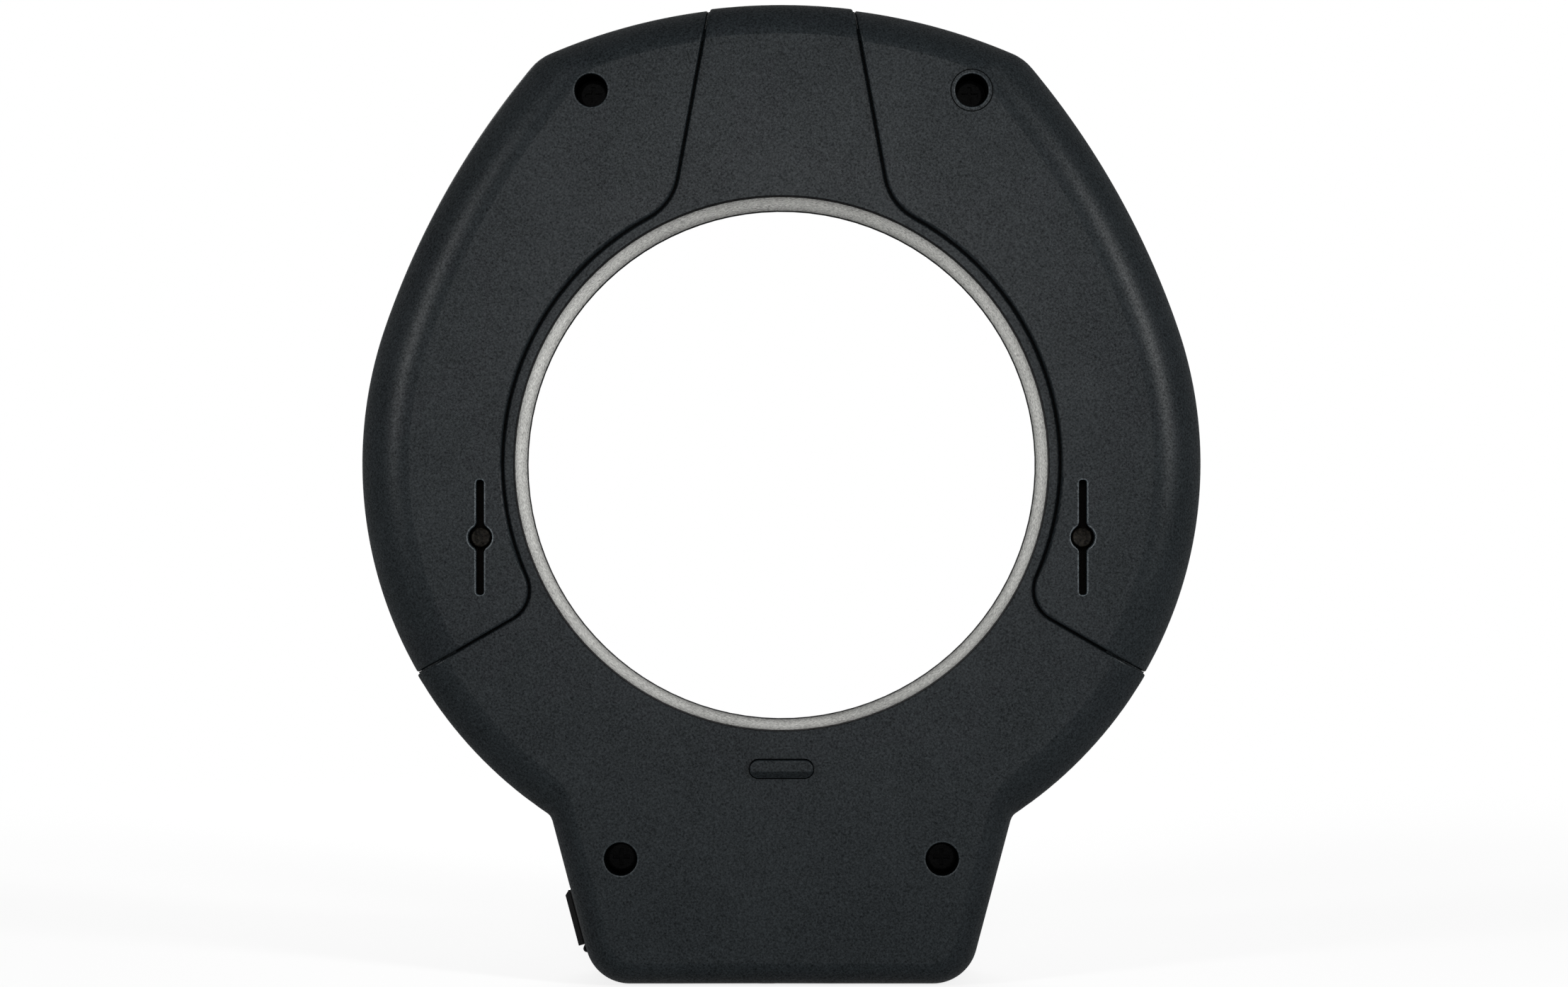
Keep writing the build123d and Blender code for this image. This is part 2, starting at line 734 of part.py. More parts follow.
# Front shell
collar_radius = bore_radius + liner_wall + liner_fit_gap + collar_wall
button_places = [(side * button_pitch * step, button_row_z) for step in button_steps for side in sides]
shell_root_y = shell_inner_y - root
screw_places = panel_screw_places + cover_screw_places
board_post_places = both(board_post_upper) + both(board_post_lower)
control_post_places = both(control_post_upper) + both(control_post_lower)
with BuildPart() as front_shell:
    add(shell_block)
    add(shell_hollow, mode=Mode.SUBTRACT)
    add(round_bar(parting_y, parting_y - shell_root_y, [(0, 0)], collar_radius))
    add(round_bar(parting_y, parting_y - shell_root_y, screw_places, shell_boss_radius))
    add(round_bar(board_front_y, board_front_y - shell_root_y, board_post_places, board_post_radius))
    add(round_bar(control_front_y, control_front_y - shell_root_y, control_post_places, control_post_radius))
    with Locations(from_behind(0, parting_y, 0)):
        CounterBoreHole(bore_radius, collar_radius - collar_wall, parting_y - liner_front_y, body_depth)
    with Locations(*[from_behind(x, parting_y, z) for x, z in screw_places]):
        CounterBoreHole(
            shell_boss_pilot_radius,
            insert_radius,
            counter_bore_depth=insert_length + insert_sink,
            depth=insert_length + shell_boss_pilot_depth,
        )
    with Locations(*[from_behind(x, board_front_y, z) for x, z in board_post_places]):
        Hole(board_screw_radius + board_screw_gap, board_screw_depth)
    with BuildSketch(face_plane(shell_inner_y + overrun)):
        add(window_area(0))
        add(mirror(window_area(0), about=Plane.YZ))
    extrude(amount=shell_wall + 2 * overrun, mode=Mode.SUBTRACT)
    with Locations(*[from_front(x, front_face_y, z) for x, z in button_places]):
        Hole(button_radius + button_gap, shell_wall + overrun)
    for place in button_places:
        fillet(mouth(front_shell, front_face_y, place, button_radius + button_gap), button_mouth_rounding)
    window_rims = [
        edge for edge in mouth(front_shell, front_face_y, (0, 0), window_outer_radius) if off_bore(edge)
    ]
    fillet(window_rims, window_mouth_rounding)
    with BuildSketch(face_plane(front_face_y + display_window_recess + display_window_thickness)):
        with Locations((0, display_z)):
            RectangleRounded(display_width, display_height, display_corner_radius)
    extrude(amount=body_depth, mode=Mode.SUBTRACT)
    with BuildSketch(face_plane(shell_inner_y + overrun)):
        with Locations((0, display_z)):
            Rectangle(display_width - 2 * display_ledge, display_height - 2 * display_ledge)
    extrude(amount=body_depth, mode=Mode.SUBTRACT)
    for side in sides:
        with BuildSketch(flap_section(ear_inner if side > 0 else -socket_half_depth)):
            with Locations((hinge_u, hinge_n)):
                Circle(hinge_radius)
            with Locations((hinge_u, (hinge_n - ear_root) / 2)):
                Rectangle(2 * hinge_radius, hinge_n + ear_root)
        extrude(amount=hinge_ear_depth)
    with BuildSketch(flap_section(-socket_half_depth - overrun)):
        with Locations((hinge_u, hinge_n)):
            Circle(hinge_pin_radius + hinge_pin_seat_gap)
    extrude(amount=2 * (socket_half_depth + overrun), mode=Mode.SUBTRACT)
    with BuildSketch(port_plane(overrun)):
        with Locations((port_offset, 0)):
            Circle(socket_half_height + port_margin)
    extrude(amount=-(shell_wall + 2 * overrun), mode=Mode.SUBTRACT)

# Screws: pan heads with a cross recess
def screws(seat_y, places):
    """Screws along Y with the undersides of their heads at seat_y."""
    length = seat_y - parting_y + insert_length - screw_end_margin
    head_y = seat_y + screw_head_height
    with BuildPart() as group:
        add(round_bar(head_y, screw_head_height, places, screw_head_radius))
        fillet(group.edges().group_by(Axis.Y)[-1], screw_head_rounding)
        add(round_bar(seat_y, length, places, screw_shank_radius))
        with BuildSketch(face_plane(head_y)):
            with Locations(*places):
                Rectangle(screw_recess_length, screw_recess_width)
                Rectangle(screw_recess_width, screw_recess_length)
        extrude(amount=screw_recess_depth, mode=Mode.SUBTRACT)
    return group.part


with BuildPart() as panel_screws:
    add(screws(panel_seat_y, panel_screw_places))

with BuildPart() as cover_screws:
    add(screws(cover_seat_y, cover_screw_places))

with BuildPart() as screw_inserts:
    with BuildSketch(face_plane(parting_y - insert_sink)):
        with Locations(*screw_places):
            Circle(insert_radius)
            Circle(screw_shank_radius + insert_thread_gap, mode=Mode.SUBTRACT)
    extrude(amount=insert_length)

# Light stack of one side, from the window back to the heat plate
with BuildPart() as left_window:
    with BuildSketch(face_plane(shell_inner_y)):
        add(window_area(-window_gap))
    extrude(amount=shell_inner_y - window_front_y)
    with BuildSketch(face_plane(window_back_y)):
        add(window_area(window_flange))
    extrude(amount=window_flange_height)

led_first_angle = window_low_angle + led_end_angle
led_span = window_high_angle - led_end_angle - led_first_angle
with BuildPart() as left_reflector:
    with BuildSketch(face_plane(reflector_back_y)):
        add(window_area(window_flange))
    extrude(amount=reflector_floor + reflector_height)
    with BuildSketch(face_plane(window_back_y)):
        add(window_area(window_flange - reflector_wall))
    extrude(amount=-reflector_height, mode=Mode.SUBTRACT)
    with BuildSketch(face_plane(reflector_back_y)):
        with PolarLocations(stack_radius, led_count, led_first_angle, led_span, endpoint=True):
            Rectangle(led_width + 2 * led_hole_gap, led_length + 2 * led_hole_gap)
    extrude(amount=reflector_floor, mode=Mode.SUBTRACT)

with BuildPart() as left_led_board:
    with BuildSketch(face_plane(led_board_back_y)):
        add(window_area(window_flange))
    extrude(amount=led_board_thickness)

with BuildPart() as left_leds:
    with BuildSketch(face_plane(reflector_back_y)):
        with PolarLocations(stack_radius, led_count, led_first_angle, led_span, endpoint=True):
            Rectangle(led_width, led_length)
    extrude(amount=led_height)

with BuildPart() as left_heat_plate:
    with BuildSketch(face_plane(heat_plate_back_y)):
        add(window_area(window_flange - heat_plate_inset, heat_plate_low_angle))
    extrude(amount=heat_plate_thickness)

with BuildPart() as right_window:
    mirror(left_window.part, about=Plane.YZ)

with BuildPart() as right_reflector:
    mirror(left_reflector.part, about=Plane.YZ)

with BuildPart() as right_led_board:
    mirror(left_led_board.part, about=Plane.YZ)

with BuildPart() as right_leds:
    mirror(left_leds.part, about=Plane.YZ)

with BuildPart() as right_heat_plate:
    mirror(left_heat_plate.part, about=Plane.YZ)

# Main board, components and screws
with BuildPart() as main_board:
    with BuildSketch(face_plane(board_back_y)):
        for half_width, top_z, bottom_z in (
            (board_stem_half_width, board_stem_top_z, board_neck_top_z - board_corner_radius),
            (board_neck_half_width, board_neck_top_z, board_foot_top_z - board_corner_radius),
            (board_foot_half_width, board_foot_top_z, board_foot_bottom_z),
        ):
            with Locations((0, (top_z + bottom_z) / 2)):
                RectangleRounded(2 * half_width, top_z - bottom_z, board_corner_radius)
        with Locations(*board_post_places):
            Circle(board_screw_radius + board_screw_gap, mode=Mode.SUBTRACT)
    extrude(amount=board_thickness)

board_screw_length = board_thickness + board_screw_depth - board_screw_head_height
with BuildPart() as board_screws:
    add(round_bar(board_head_y, board_screw_head_height, board_post_places, board_screw_head_radius))
    add(round_bar(board_back_y, board_screw_length, board_post_places, board_screw_radius))

inductor_z = component_z - board_post_radius
with BuildPart() as board_components:
    with BuildSketch(face_plane(board_front_y)):
        with Locations((0, component_z)):
            Rectangle(chip_side, chip_side)
    extrude(amount=chip_height)
    with BuildSketch(face_plane(board_front_y)):
        with Locations((coil_x, inductor_z)):
            RectangleRounded(coil_side, coil_side, board_corner_radius)
    extrude(amount=coil_height)
    capacitor_height = board_front_y - control_back_y - capacitor_clearance
    add(round_bar(board_front_y, capacitor_height, [(capacitor_x, inductor_z)], capacitor_radius))

with BuildPart() as board_header:
    with BuildSketch(face_plane(board_front_y)):
        with Locations((0, header_z)):
            Rectangle(header_length, header_width)
    extrude(amount=board_front_y - control_back_y)

control_board_height = control_board_top_z - control_board_bottom_z
with BuildPart() as control_board:
    with BuildSketch(face_plane(control_back_y)):
        with Locations((0, (control_board_top_z + control_board_bottom_z) / 2)):
            RectangleRounded(2 * control_board_half_width, control_board_height, board_corner_radius)
    extrude(amount=control_board_thickness)

with BuildPart() as display_module:
    with BuildSketch(face_plane(control_front_y)):
        with Locations((0, display_z)):
            Rectangle(display_width, display_height)
    extrude(amount=control_board_clearance - display_air_gap)

window_width = display_width - 2 * display_window_gap
window_height = display_height - 2 * display_window_gap
with BuildPart() as display_window:
    with BuildSketch(face_plane(front_face_y + display_window_recess + display_window_thickness)):
        with Locations((0, display_z)):
            RectangleRounded(window_width, window_height, display_corner_radius)
    extrude(amount=display_window_thickness)

# Battery on its pad, behind the main board
battery_z = (board_foot_top_z + battery_bottom_z) / 2
battery_height = board_foot_top_z - battery_bottom_z
with BuildPart() as battery_pad:
    with BuildSketch(face_plane(cover_inner_y)):
        with Locations((0, battery_z)):
            Rectangle(2 * (battery_half_width - pad_margin), battery_height - 2 * pad_margin)
    extrude(amount=pad_thickness)

with BuildPart() as battery_cell:
    with BuildSketch(face_plane(battery_back_y)):
        with Locations((0, battery_z)):
            RectangleRounded(2 * battery_half_width, battery_height, battery_corner_radius)
    extrude(amount=battery_back_y - board_head_y - battery_clearance)

# Ribbon cables, each between a connector on the main board and one on its LED board
ribbon_start = (ribbon_start_x, -(bore_radius + ribbon_start_margin))
ribbon_end = polar(stack_radius - ribbon_end_inset, window_low_angle + ribbon_end_turn)
ribbon_run = (ribbon_end[0] - ribbon_start[0], ribbon_end[1] - ribbon_start[1])
ribbon_turn = degrees(atan2(ribbon_run[1], ribbon_run[0]))
ribbon_length = hypot(*ribbon_run)
ribbon_middle = ((ribbon_start[0] + ribbon_end[0]) / 2, (ribbon_start[1] + ribbon_end[1]) / 2)
ribbon_y = (board_front_y + led_board_back_y + ribbon_thickness) / 2
connector_height = (board_front_y - led_board_back_y) / 2 + connector_overlap
with BuildPart() as left_ribbon_cable:
    with BuildSketch(face_plane(ribbon_y)):
        with Locations(ribbon_middle):
            Rectangle(ribbon_length, ribbon_width, rotation=ribbon_turn)
    extrude(amount=ribbon_thickness)

with BuildPart() as right_ribbon_cable:
    mirror(left_ribbon_cable.part, about=Plane.YZ)

with BuildPart() as ribbon_connectors:
    reach = (ribbon_length + connector_length) / 2
    connector_seats = ((-1, board_front_y, connector_height), (1, led_board_back_y, -connector_height))
    for end, seat_y, rise in connector_seats:
        step = polar(end * reach, ribbon_turn)
        with BuildSketch(face_plane(seat_y)):
            with Locations((ribbon_middle[0] + step[0], ribbon_middle[1] + step[1])):
                Rectangle(connector_length, connector_width, rotation=ribbon_turn)
        extrude(amount=rise)
    mirror(about=Plane.YZ)

# Rear push button, its plunger and its switch
rear_switch_y = board_back_y + rear_switch_height
rear_plunger_y = rear_switch_y + plunger_rise
with BuildPart() as rear_button:
    with BuildSketch(face_plane(rear_button_rise)):
        with Locations((0, rear_button_z)):
            SlotOverall(rear_button_length, rear_button_height)
    extrude(amount=rear_button_rise - cover_inner_y)
    with BuildSketch(Plane.YZ):
        with BuildLine():
            low_z = rear_button_z - rear_button_height / 2
            Polyline(
                (rear_button_rise, low_z + rear_button_slope_width),
                (rear_button_rise - rear_button_slope_drop, low_z),
                (rear_button_rise - rear_button_slope_drop, low_z - overrun),
                (rear_button_rise + overrun, low_z - overrun),
                (rear_button_rise + overrun, low_z + rear_button_slope_width),
                close=True,
            )
        make_face()
    extrude(amount=rear_button_length, both=True, mode=Mode.SUBTRACT)
    fillet(rear_button.edges().group_by(Axis.Y)[-1], rear_button_edge)
    with BuildSketch(face_plane(cover_inner_y)):
        with Locations((0, rear_button_z)):
            SlotOverall(rear_button_length + 2 * button_flange, rear_button_height + 2 * button_flange)
    extrude(amount=button_flange_height)
    with BuildSketch(face_plane(cover_inner_y - button_flange_height)):
        with Locations((0, rear_button_z)):
            Rectangle(rear_stem_width, rear_stem_height)
    extrude(amount=cover_inner_y - button_flange_height - rear_plunger_y)

with BuildPart() as rear_button_plunger:
    add(round_bar(rear_plunger_y, plunger_rise + plunger_sink, [(0, rear_button_z)], plunger_radius))

with BuildPart() as rear_button_switch:
    with BuildSketch(face_plane(rear_switch_y)):
        with Locations((0, rear_button_z)):
            Rectangle(rear_switch_width, rear_switch_depth)
    extrude(amount=rear_switch_height)
    with Locations(from_behind(0, rear_switch_y, rear_button_z)):
        Hole(plunger_radius + plunger_gap, rear_switch_height - switch_floor)

# Front buttons, their plungers and switches
button_names = ("power", "mode", "minus", "plus")
switch_front_y = control_front_y - switch_height
front_plunger_y = switch_front_y - front_plunger_rise
front_buttons = {}
for name, x in zip(button_names, sorted((x for x, z in button_places), reverse=True)):
    spot = [(x, button_row_z)]
    stem_y = shell_inner_y + button_flange_height
    with BuildPart() as front_button:
        add(round_bar(shell_inner_y, shell_wall + button_rise, spot, button_radius))
        fillet(front_button.edges().group_by(Axis.Y)[0], button_edge)
        add(round_bar(stem_y, button_flange_height, spot, button_radius + button_flange))
        add(round_bar(front_plunger_y, front_plunger_y - stem_y, spot, button_stem_radius))
    front_buttons[name + "_button"] = front_button
    with BuildPart() as front_plunger:
        end_y = switch_front_y + front_plunger_sink
        add(round_bar(end_y, end_y - front_plunger_y, spot, plunger_radius))
    front_buttons[name + "_plunger"] = front_plunger

with BuildPart() as button_switches:
    with BuildSketch(face_plane(control_front_y)):
        with Locations(*button_places):
            Rectangle(switch_width, switch_width)
    extrude(amount=switch_height)
    with Locations(*[from_front(x, switch_front_y, z) for x, z in button_places]):
        Hole(plunger_radius + plunger_gap, switch_height - front_switch_floor)

# Power socket
socket_n = -(shell_wall + socket_wall_gap)
with BuildPart() as dc_socket:
    with BuildSketch(port_plane(socket_n)):
        with Locations((port_offset, 0)):
            Rectangle(2 * socket_half_height, 2 * socket_half_depth)
    extrude(amount=-socket_length)
    with BuildSketch(port_plane(socket_n)):
        with Locations((port_offset, 0)):
            Circle(socket_bore_radius)
    extrude(amount=-socket_bore_depth, mode=Mode.SUBTRACT)
    with BuildSketch(port_plane(socket_n - socket_bore_depth)):
        with Locations((port_offset, 0)):
            Circle(socket_pin_radius)
    extrude(amount=-socket_pin_seat, mode=Mode.SUBTRACT)

with BuildPart() as dc_socket_pin:
    with BuildSketch(port_plane(socket_n - socket_pin_recess)):
        with Locations((port_offset, 0)):
            Circle(socket_pin_radius)
    extrude(amount=-(socket_bore_depth + socket_pin_seat - socket_pin_recess))
    fillet(dc_socket_pin.edges().sort_by(Axis.X)[-1], socket_pin_radius / 2)

# Flap over the socket, with its seal, on a pin between two ears
flap_top_n = flap_stand_off + flap_thickness
with BuildPart() as socket_flap:
    with BuildSketch(flap_section(-socket_half_depth)) as flap_face:
        with BuildLine():
            Polyline(
                (hinge_u + hinge_radius + hinge_sweep_gap, flap_stand_off),
                (flap_half_length, flap_stand_off),
                (flap_half_length, flap_top_n - flap_bevel),
                (flap_half_length - flap_bevel, flap_top_n),
                (hinge_u + hinge_radius + hinge_sweep_gap, flap_top_n),
                close=True,
            )
        make_face()
    extrude(amount=2 * socket_half_depth)
    with BuildSketch(flap_section(-ear_inner + hinge_side_gap)):
        with Locations((hinge_u, hinge_n)):
            Circle(hinge_radius)
        web = hinge_radius + hinge_sweep_gap + flap_edge
        with Locations((hinge_u + web / 2, hinge_n)):
            Rectangle(web, 2 * hinge_web_half_height)
        with Locations((hinge_u, hinge_n)):
            Circle(hinge_pin_radius + hinge_pin_gap, mode=Mode.SUBTRACT)
    extrude(amount=2 * (ear_inner - hinge_side_gap))

with BuildPart() as flap_pin:
    with BuildSketch(flap_section(-socket_half_depth)):
        with Locations((hinge_u, hinge_n)):
            Circle(hinge_pin_radius)
    extrude(amount=2 * socket_half_depth)

with BuildPart() as flap_seal:
    with BuildSketch(port_plane(flap_stand_off)):
        with Locations((port_offset, 0)):
            Circle(seal_radius)
    extrude(amount=-seal_depth)

# Every piece is written under its own name
pieces = {
    "back_cover": back_cover,
    "left_side_panel": left_side_panel,
    "right_side_panel": right_side_panel,
    "front_shell": front_shell,
    "bore_liner": bore_liner,
    "left_slot_insert": left_slot_insert,
    "right_slot_insert": right_slot_insert,
    "panel_screws": panel_screws,
    "cover_screws": cover_screws,
    "screw_inserts": screw_inserts,
    "left_window": left_window,
    "right_window": right_window,
    "left_reflector": left_reflector,
    "right_reflector": right_reflector,
    "left_led_board": left_led_board,
    "right_led_board": right_led_board,
    "left_leds": left_leds,
    "right_leds": right_leds,
    "left_heat_plate": left_heat_plate,
    "right_heat_plate": right_heat_plate,
    "main_board": main_board,
    "board_screws": board_screws,
    "board_components": board_components,
    "board_header": board_header,
    "control_board": control_board,
    "display_module": display_module,
    "display_window": display_window,
    "battery_pad": battery_pad,
    "battery_cell": battery_cell,
    "left_ribbon_cable": left_ribbon_cable,
    "right_ribbon_cable": right_ribbon_cable,
    "ribbon_connectors": ribbon_connectors,
    "rear_button": rear_button,
    "rear_button_plunger": rear_button_plunger,
    "rear_button_switch": rear_button_switch,
    "button_switches": button_switches,
    "dc_socket": dc_socket,
    "dc_socket_pin": dc_socket_pin,
    "socket_flap": socket_flap,
    "flap_pin": flap_pin,
    "flap_seal": flap_seal,
    **front_buttons,
}
os.makedirs("parts", exist_ok=True)
for name, piece in pieces.items():
    piece.part.label = name
    export_step(piece.part, f"parts/{name}.step")
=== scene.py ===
import json
import math

import bmesh
import bpy
from mathutils import Matrix, Vector
from mathutils.noise import noise as noise_of


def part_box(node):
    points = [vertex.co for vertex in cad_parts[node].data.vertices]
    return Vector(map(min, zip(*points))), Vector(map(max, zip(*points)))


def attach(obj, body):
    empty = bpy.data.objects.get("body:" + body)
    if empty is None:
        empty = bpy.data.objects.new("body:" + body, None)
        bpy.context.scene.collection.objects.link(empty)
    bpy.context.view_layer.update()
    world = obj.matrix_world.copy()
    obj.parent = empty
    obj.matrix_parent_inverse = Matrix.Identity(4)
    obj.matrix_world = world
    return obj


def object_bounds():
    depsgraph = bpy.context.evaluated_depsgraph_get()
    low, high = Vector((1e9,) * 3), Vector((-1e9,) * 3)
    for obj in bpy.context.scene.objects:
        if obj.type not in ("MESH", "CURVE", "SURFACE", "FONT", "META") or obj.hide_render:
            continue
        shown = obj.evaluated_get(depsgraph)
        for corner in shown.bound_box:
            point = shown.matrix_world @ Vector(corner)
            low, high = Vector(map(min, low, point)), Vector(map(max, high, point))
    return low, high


# Macro LED ring light, seen from behind as the photographer sees it. Metres, in the part's own frame:
# +X is left in the picture, +Z is up, +Y points back towards the camera, and the light leaves the front,
# towards -Y.
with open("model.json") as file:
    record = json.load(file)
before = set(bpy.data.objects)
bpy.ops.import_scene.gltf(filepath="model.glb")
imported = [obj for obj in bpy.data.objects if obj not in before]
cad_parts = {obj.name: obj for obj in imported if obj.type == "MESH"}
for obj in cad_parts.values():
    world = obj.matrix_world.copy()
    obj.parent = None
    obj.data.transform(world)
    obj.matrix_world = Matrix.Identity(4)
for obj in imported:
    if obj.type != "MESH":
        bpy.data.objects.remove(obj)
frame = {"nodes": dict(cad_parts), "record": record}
cad_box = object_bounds()
nodes = frame["nodes"]
MM = 0.001

# Viewpoint of the photograph
PICTURE_WIDTH_PX = 2215
FOCAL_LENGTH_PX = 4499
SENSOR_WIDTH = 36
CAMERA_PLACE = Vector((-0.40, 491.0, -4.65)) * MM

# Colours, as linear shares of red, green and blue
CHARCOAL = (0.0052, 0.0068, 0.0078)
FRONT_BLACK = (0.0100, 0.0110, 0.0120)
SLEEVE_GREY = (0.450, 0.450, 0.434)
GLOSS_BLACK = (0.0060, 0.0065, 0.0070)
SCREW_BLACK = (0.0016, 0.0016, 0.0017)
FLAP_BLACK = (0.0030, 0.0031, 0.0032)
TROUGH_BLACK = (0.0040, 0.0036, 0.0032)
BOSS_BROWN = (0.0060, 0.0053, 0.0042)
MILK_WHITE = (0.780, 0.790, 0.780)
PHOSPHOR_YELLOW = (0.780, 0.620, 0.180)
BOARD_GREEN = (0.0130, 0.0900, 0.0380)
BRASS = (0.620, 0.430, 0.160)
STEEL = (0.520, 0.520, 0.530)
PANEL_GREEN = (0.200, 0.240, 0.180)
SMOKED_GLASS = (0.450, 0.460, 0.480)
FOAM_BLACK = (0.0200, 0.0200, 0.0200)
FOIL_GREY = (0.200, 0.220, 0.240)
RIBBON_AMBER = (0.350, 0.130, 0.020)
BRIGHT_METAL = (0.620, 0.620, 0.620)

# Lamps: name, place, width and height in metres, and power in watts
LAMPS = (
    ("key_lamp", (0.00, 0.58, 0.05), 0.12, 0.08, 1.5),
    ("left_lamp", (0.36, 0.30, 0.12), 0.06, 0.20, 1.6),
    ("right_lamp", (-0.36, 0.30, 0.12), 0.06, 0.20, 2.4),
    ("front_lamp", (0.05, -0.60, 0.10), 0.40, 0.30, 3.2),
)

# White room and table top, in metres and shares
ROOM_LIGHT = 0.06
TABLE_RADIUS = 2.0
TABLE_FACETS = 64
TABLE_WHITE = 0.8
TABLE_ROUGHNESS = 0.8
SHADOW_RADIUS = 0.10
WHITE_RADIUS = 0.40
SHADOW_GLOW = 0.80

# Grain and masks: widths in millimetres, the drift's scale per metre, and shades as shares of the colour
NOISE_DETAIL = 2.0
NOISE_ROUGHNESS = 0.6
DRIFT_SCALE = 90.0
DRIFT_ROUGHNESS = 0.5
GRAIN_TURN = (0.6, 0.9, 0.4)
LEAST_TONE = 0.15
MASK_SOFTNESS = 0.06
FLAT_FACING = 0.98
GRAIN_NODE = "grain"
SKIN_SHARE = 0.130
SKIN_ROUGHNESS = 0.38
# Painted shade: on the seams' floor, in the screw holes and on the opening's lip
BED_PAINTED_SHADE = 0.10
HOLE_PAINTED_SHADE = 0.10
# Painted highlights on the rims round the screw holes and the slots
HIGHLIGHT_RIM_WIDTH = 0.22
HOLE_RIM_HIGHLIGHT = 1.6
SLOT_RIM_HIGHLIGHT = 3.4
# Painted shade towards both ends of the sleeve
SLEEVE_END_PAINTED_SHADE = 0.5
HOLE_RING_SHARE = 1.12
# Painted shade in the fine groove round the ringed hole
GROOVE_PAINTED_SHADE = 0.1

# Finishes: the colour (the moulded and blasted ones get theirs later), roughness, grain size, speckle, drift
# and relief, then the plain values of the shader's own sockets. Grain size and relief are in millimetres.
METAL = {"Metallic": 1.0}
CLEAR = {"Transmission Weight": 1.0, "IOR": 1.45}
NO_SHINE = {"Specular IOR Level": 0.0}
MOULDED = (0.7, 0.30, 2.6, 0.35, 0.03, NO_SHINE)
BLASTED = (0.6, 0.40, 2.4, 0.4, 0.04, NO_SHINE)
BLASTED_STRETCH = 3.0
FINISHES = {
    "trough_plastic": (TROUGH_BLACK, 0.8, 0.4, 1.5, 0.5, 0.02, {"Specular IOR Level": 0.02}),
    "boss_plastic": (BOSS_BROWN, 0.55, 0.4, 5.0, 0.5, 0.06, {"Specular IOR Level": 0.04}),
    "black_screw": (SCREW_BLACK, 0.4, 0.4, 3.0, 0.3, 0.02, {"Specular IOR Level": 0.01}),
    "insert_brass": (BRASS, 0.35, 0.3, 1.0, 0.3, 0.01, METAL),
    "window_milk": (MILK_WHITE, 0.35, 0.4, 0.1, 0.05, 0.004, {"Transmission Weight": 0.3}),
    "reflector_white": (MILK_WHITE, 0.5, 0.4, 0.1, 0.05, 0.004, {}),
    "circuit_board": (BOARD_GREEN, 0.4, 0.6, 0.8, 0.5, 0.01, {}),
    "led_package": (PHOSPHOR_YELLOW, 0.3, 0.3, 0.3, 0.2, 0.01, {}),
    "heat_plate": (STEEL, 0.35, 0.3, 0.4, 0.3, 0.01, METAL),
    "chip_black": (GLOSS_BLACK, 0.5, 0.3, 1.0, 0.3, 0.01, {}),
    "small_screw": (STEEL, 0.3, 0.2, 0.4, 0.3, 0.01, METAL),
    "display_panel": (PANEL_GREEN, 0.4, 0.3, 0.1, 0.1, 0.002, {}),
    "display_ink": (GLOSS_BLACK, 0.5, 0.3, 0.2, 0.1, 0.002, {}),
    "display_glass": (SMOKED_GLASS, 0.02, 0.3, 0.02, 0.02, 0.0005, CLEAR),
    "foam_pad": (FOAM_BLACK, 0.9, 0.8, 2.0, 0.5, 0.10, {}),
    "battery_wrap": (FOIL_GREY, 0.3, 0.5, 0.4, 0.3, 0.01, {"Metallic": 0.5}),
    "ribbon_film": (RIBBON_AMBER, 0.35, 0.3, 0.4, 0.3, 0.005, {}),
    "button_rubber": (FRONT_BLACK, 0.6, 0.35, 1.5, 0.3, 0.02, {"Specular IOR Level": 0.25}),
    "plunger_plastic": (GLOSS_BLACK, 0.35, 0.3, 0.4, 0.3, 0.005, {}),
    "switch_metal": (STEEL, 0.35, 0.2, 0.4, 0.3, 0.005, METAL),
    "socket_plastic": (GLOSS_BLACK, 0.4, 0.3, 0.4, 0.3, 0.005, {}),
    "contact_metal": (BRIGHT_METAL, 0.2, 0.3, 0.2, 0.2, 0.002, METAL),
    "flap_plastic": (FLAP_BLACK, 0.30, 0.5, 1.5, 0.3, 0.004, {"Specular IOR Level": 0.06}),
    "seal_rubber": (GLOSS_BLACK, 0.8, 0.3, 1.0, 0.3, 0.02, {"Specular IOR Level": 0.2}),
}

# Extra detail, in millimetres unless a name says otherwise
WELD_DISTANCE = 0.0001
DISC_FACETS = 48
ROOT = 0.05
ICON_RISE = 0.06
ICON_DEPTH = ICON_RISE + ROOT
ICON_STROKE = 0.34
ICON_ROUNDING = 0.12
ICON_REACH = 1.25
STROKE_STEP = 0.01
POWER_GAP_DEG = 76
MODE_GAP_DEG = 64
BEND_STEP_DEG = 12
DOT_RADIUS = 0.36
LENS_RADIUS = 1.15
LENS_RISE = 0.75
LENS_FACETS = 20
LENS_STEPS = 6
RIB_STEP_DEG = 1.25
RIB_END_MARGIN_DEG = 4.0
RIB_SIDE_MARGIN = 1.0
RIB_HALF_WIDTH = 0.42
RIB_RISE = 0.16
RIB_TAPER = 0.85
RIB_FACETS = 10
DIGIT_HEIGHT = 4.4
DIGIT_WIDTH = 2.3
DIGIT_PITCH = 3.7
SEGMENT_WIDTH = 0.62
SEGMENT_RISE = 0.2
SEGMENT_LEAN_DEG = 6
SEGMENT_GAP = 0.08
SEGMENT_ROUNDING = 0.4 * SEGMENT_WIDTH
FIGURES_START = -6.5
LEVELS_START = 2.6
LEVEL_BARS = 5
LEVEL_BAR_LEAST = 1.2
LEVEL_BAR_WIDTH = 0.9
LEVEL_BAR_ROUNDING = 0.2 * LEVEL_BAR_WIDTH
LEVEL_PITCH = 1.6
BOSS_TOP = ((0.0, 0.16), (0.60, 0.18), (1.05, 0.13), (1.22, 0.20), (1.34, 0.26), (1.44, 0.20), (1.48, 0.0))
BOSS_NOISE = 0.09
BOSS_NOISE_SCALE = 2.3
BEAD_RADIUS = 0.11
BEAD_FACETS = 12
BEAD_STEPS = 4
BEAD_LENGTH = 8.2
BEAD_START = 1.0
BEAD_OFFSET = 0.35

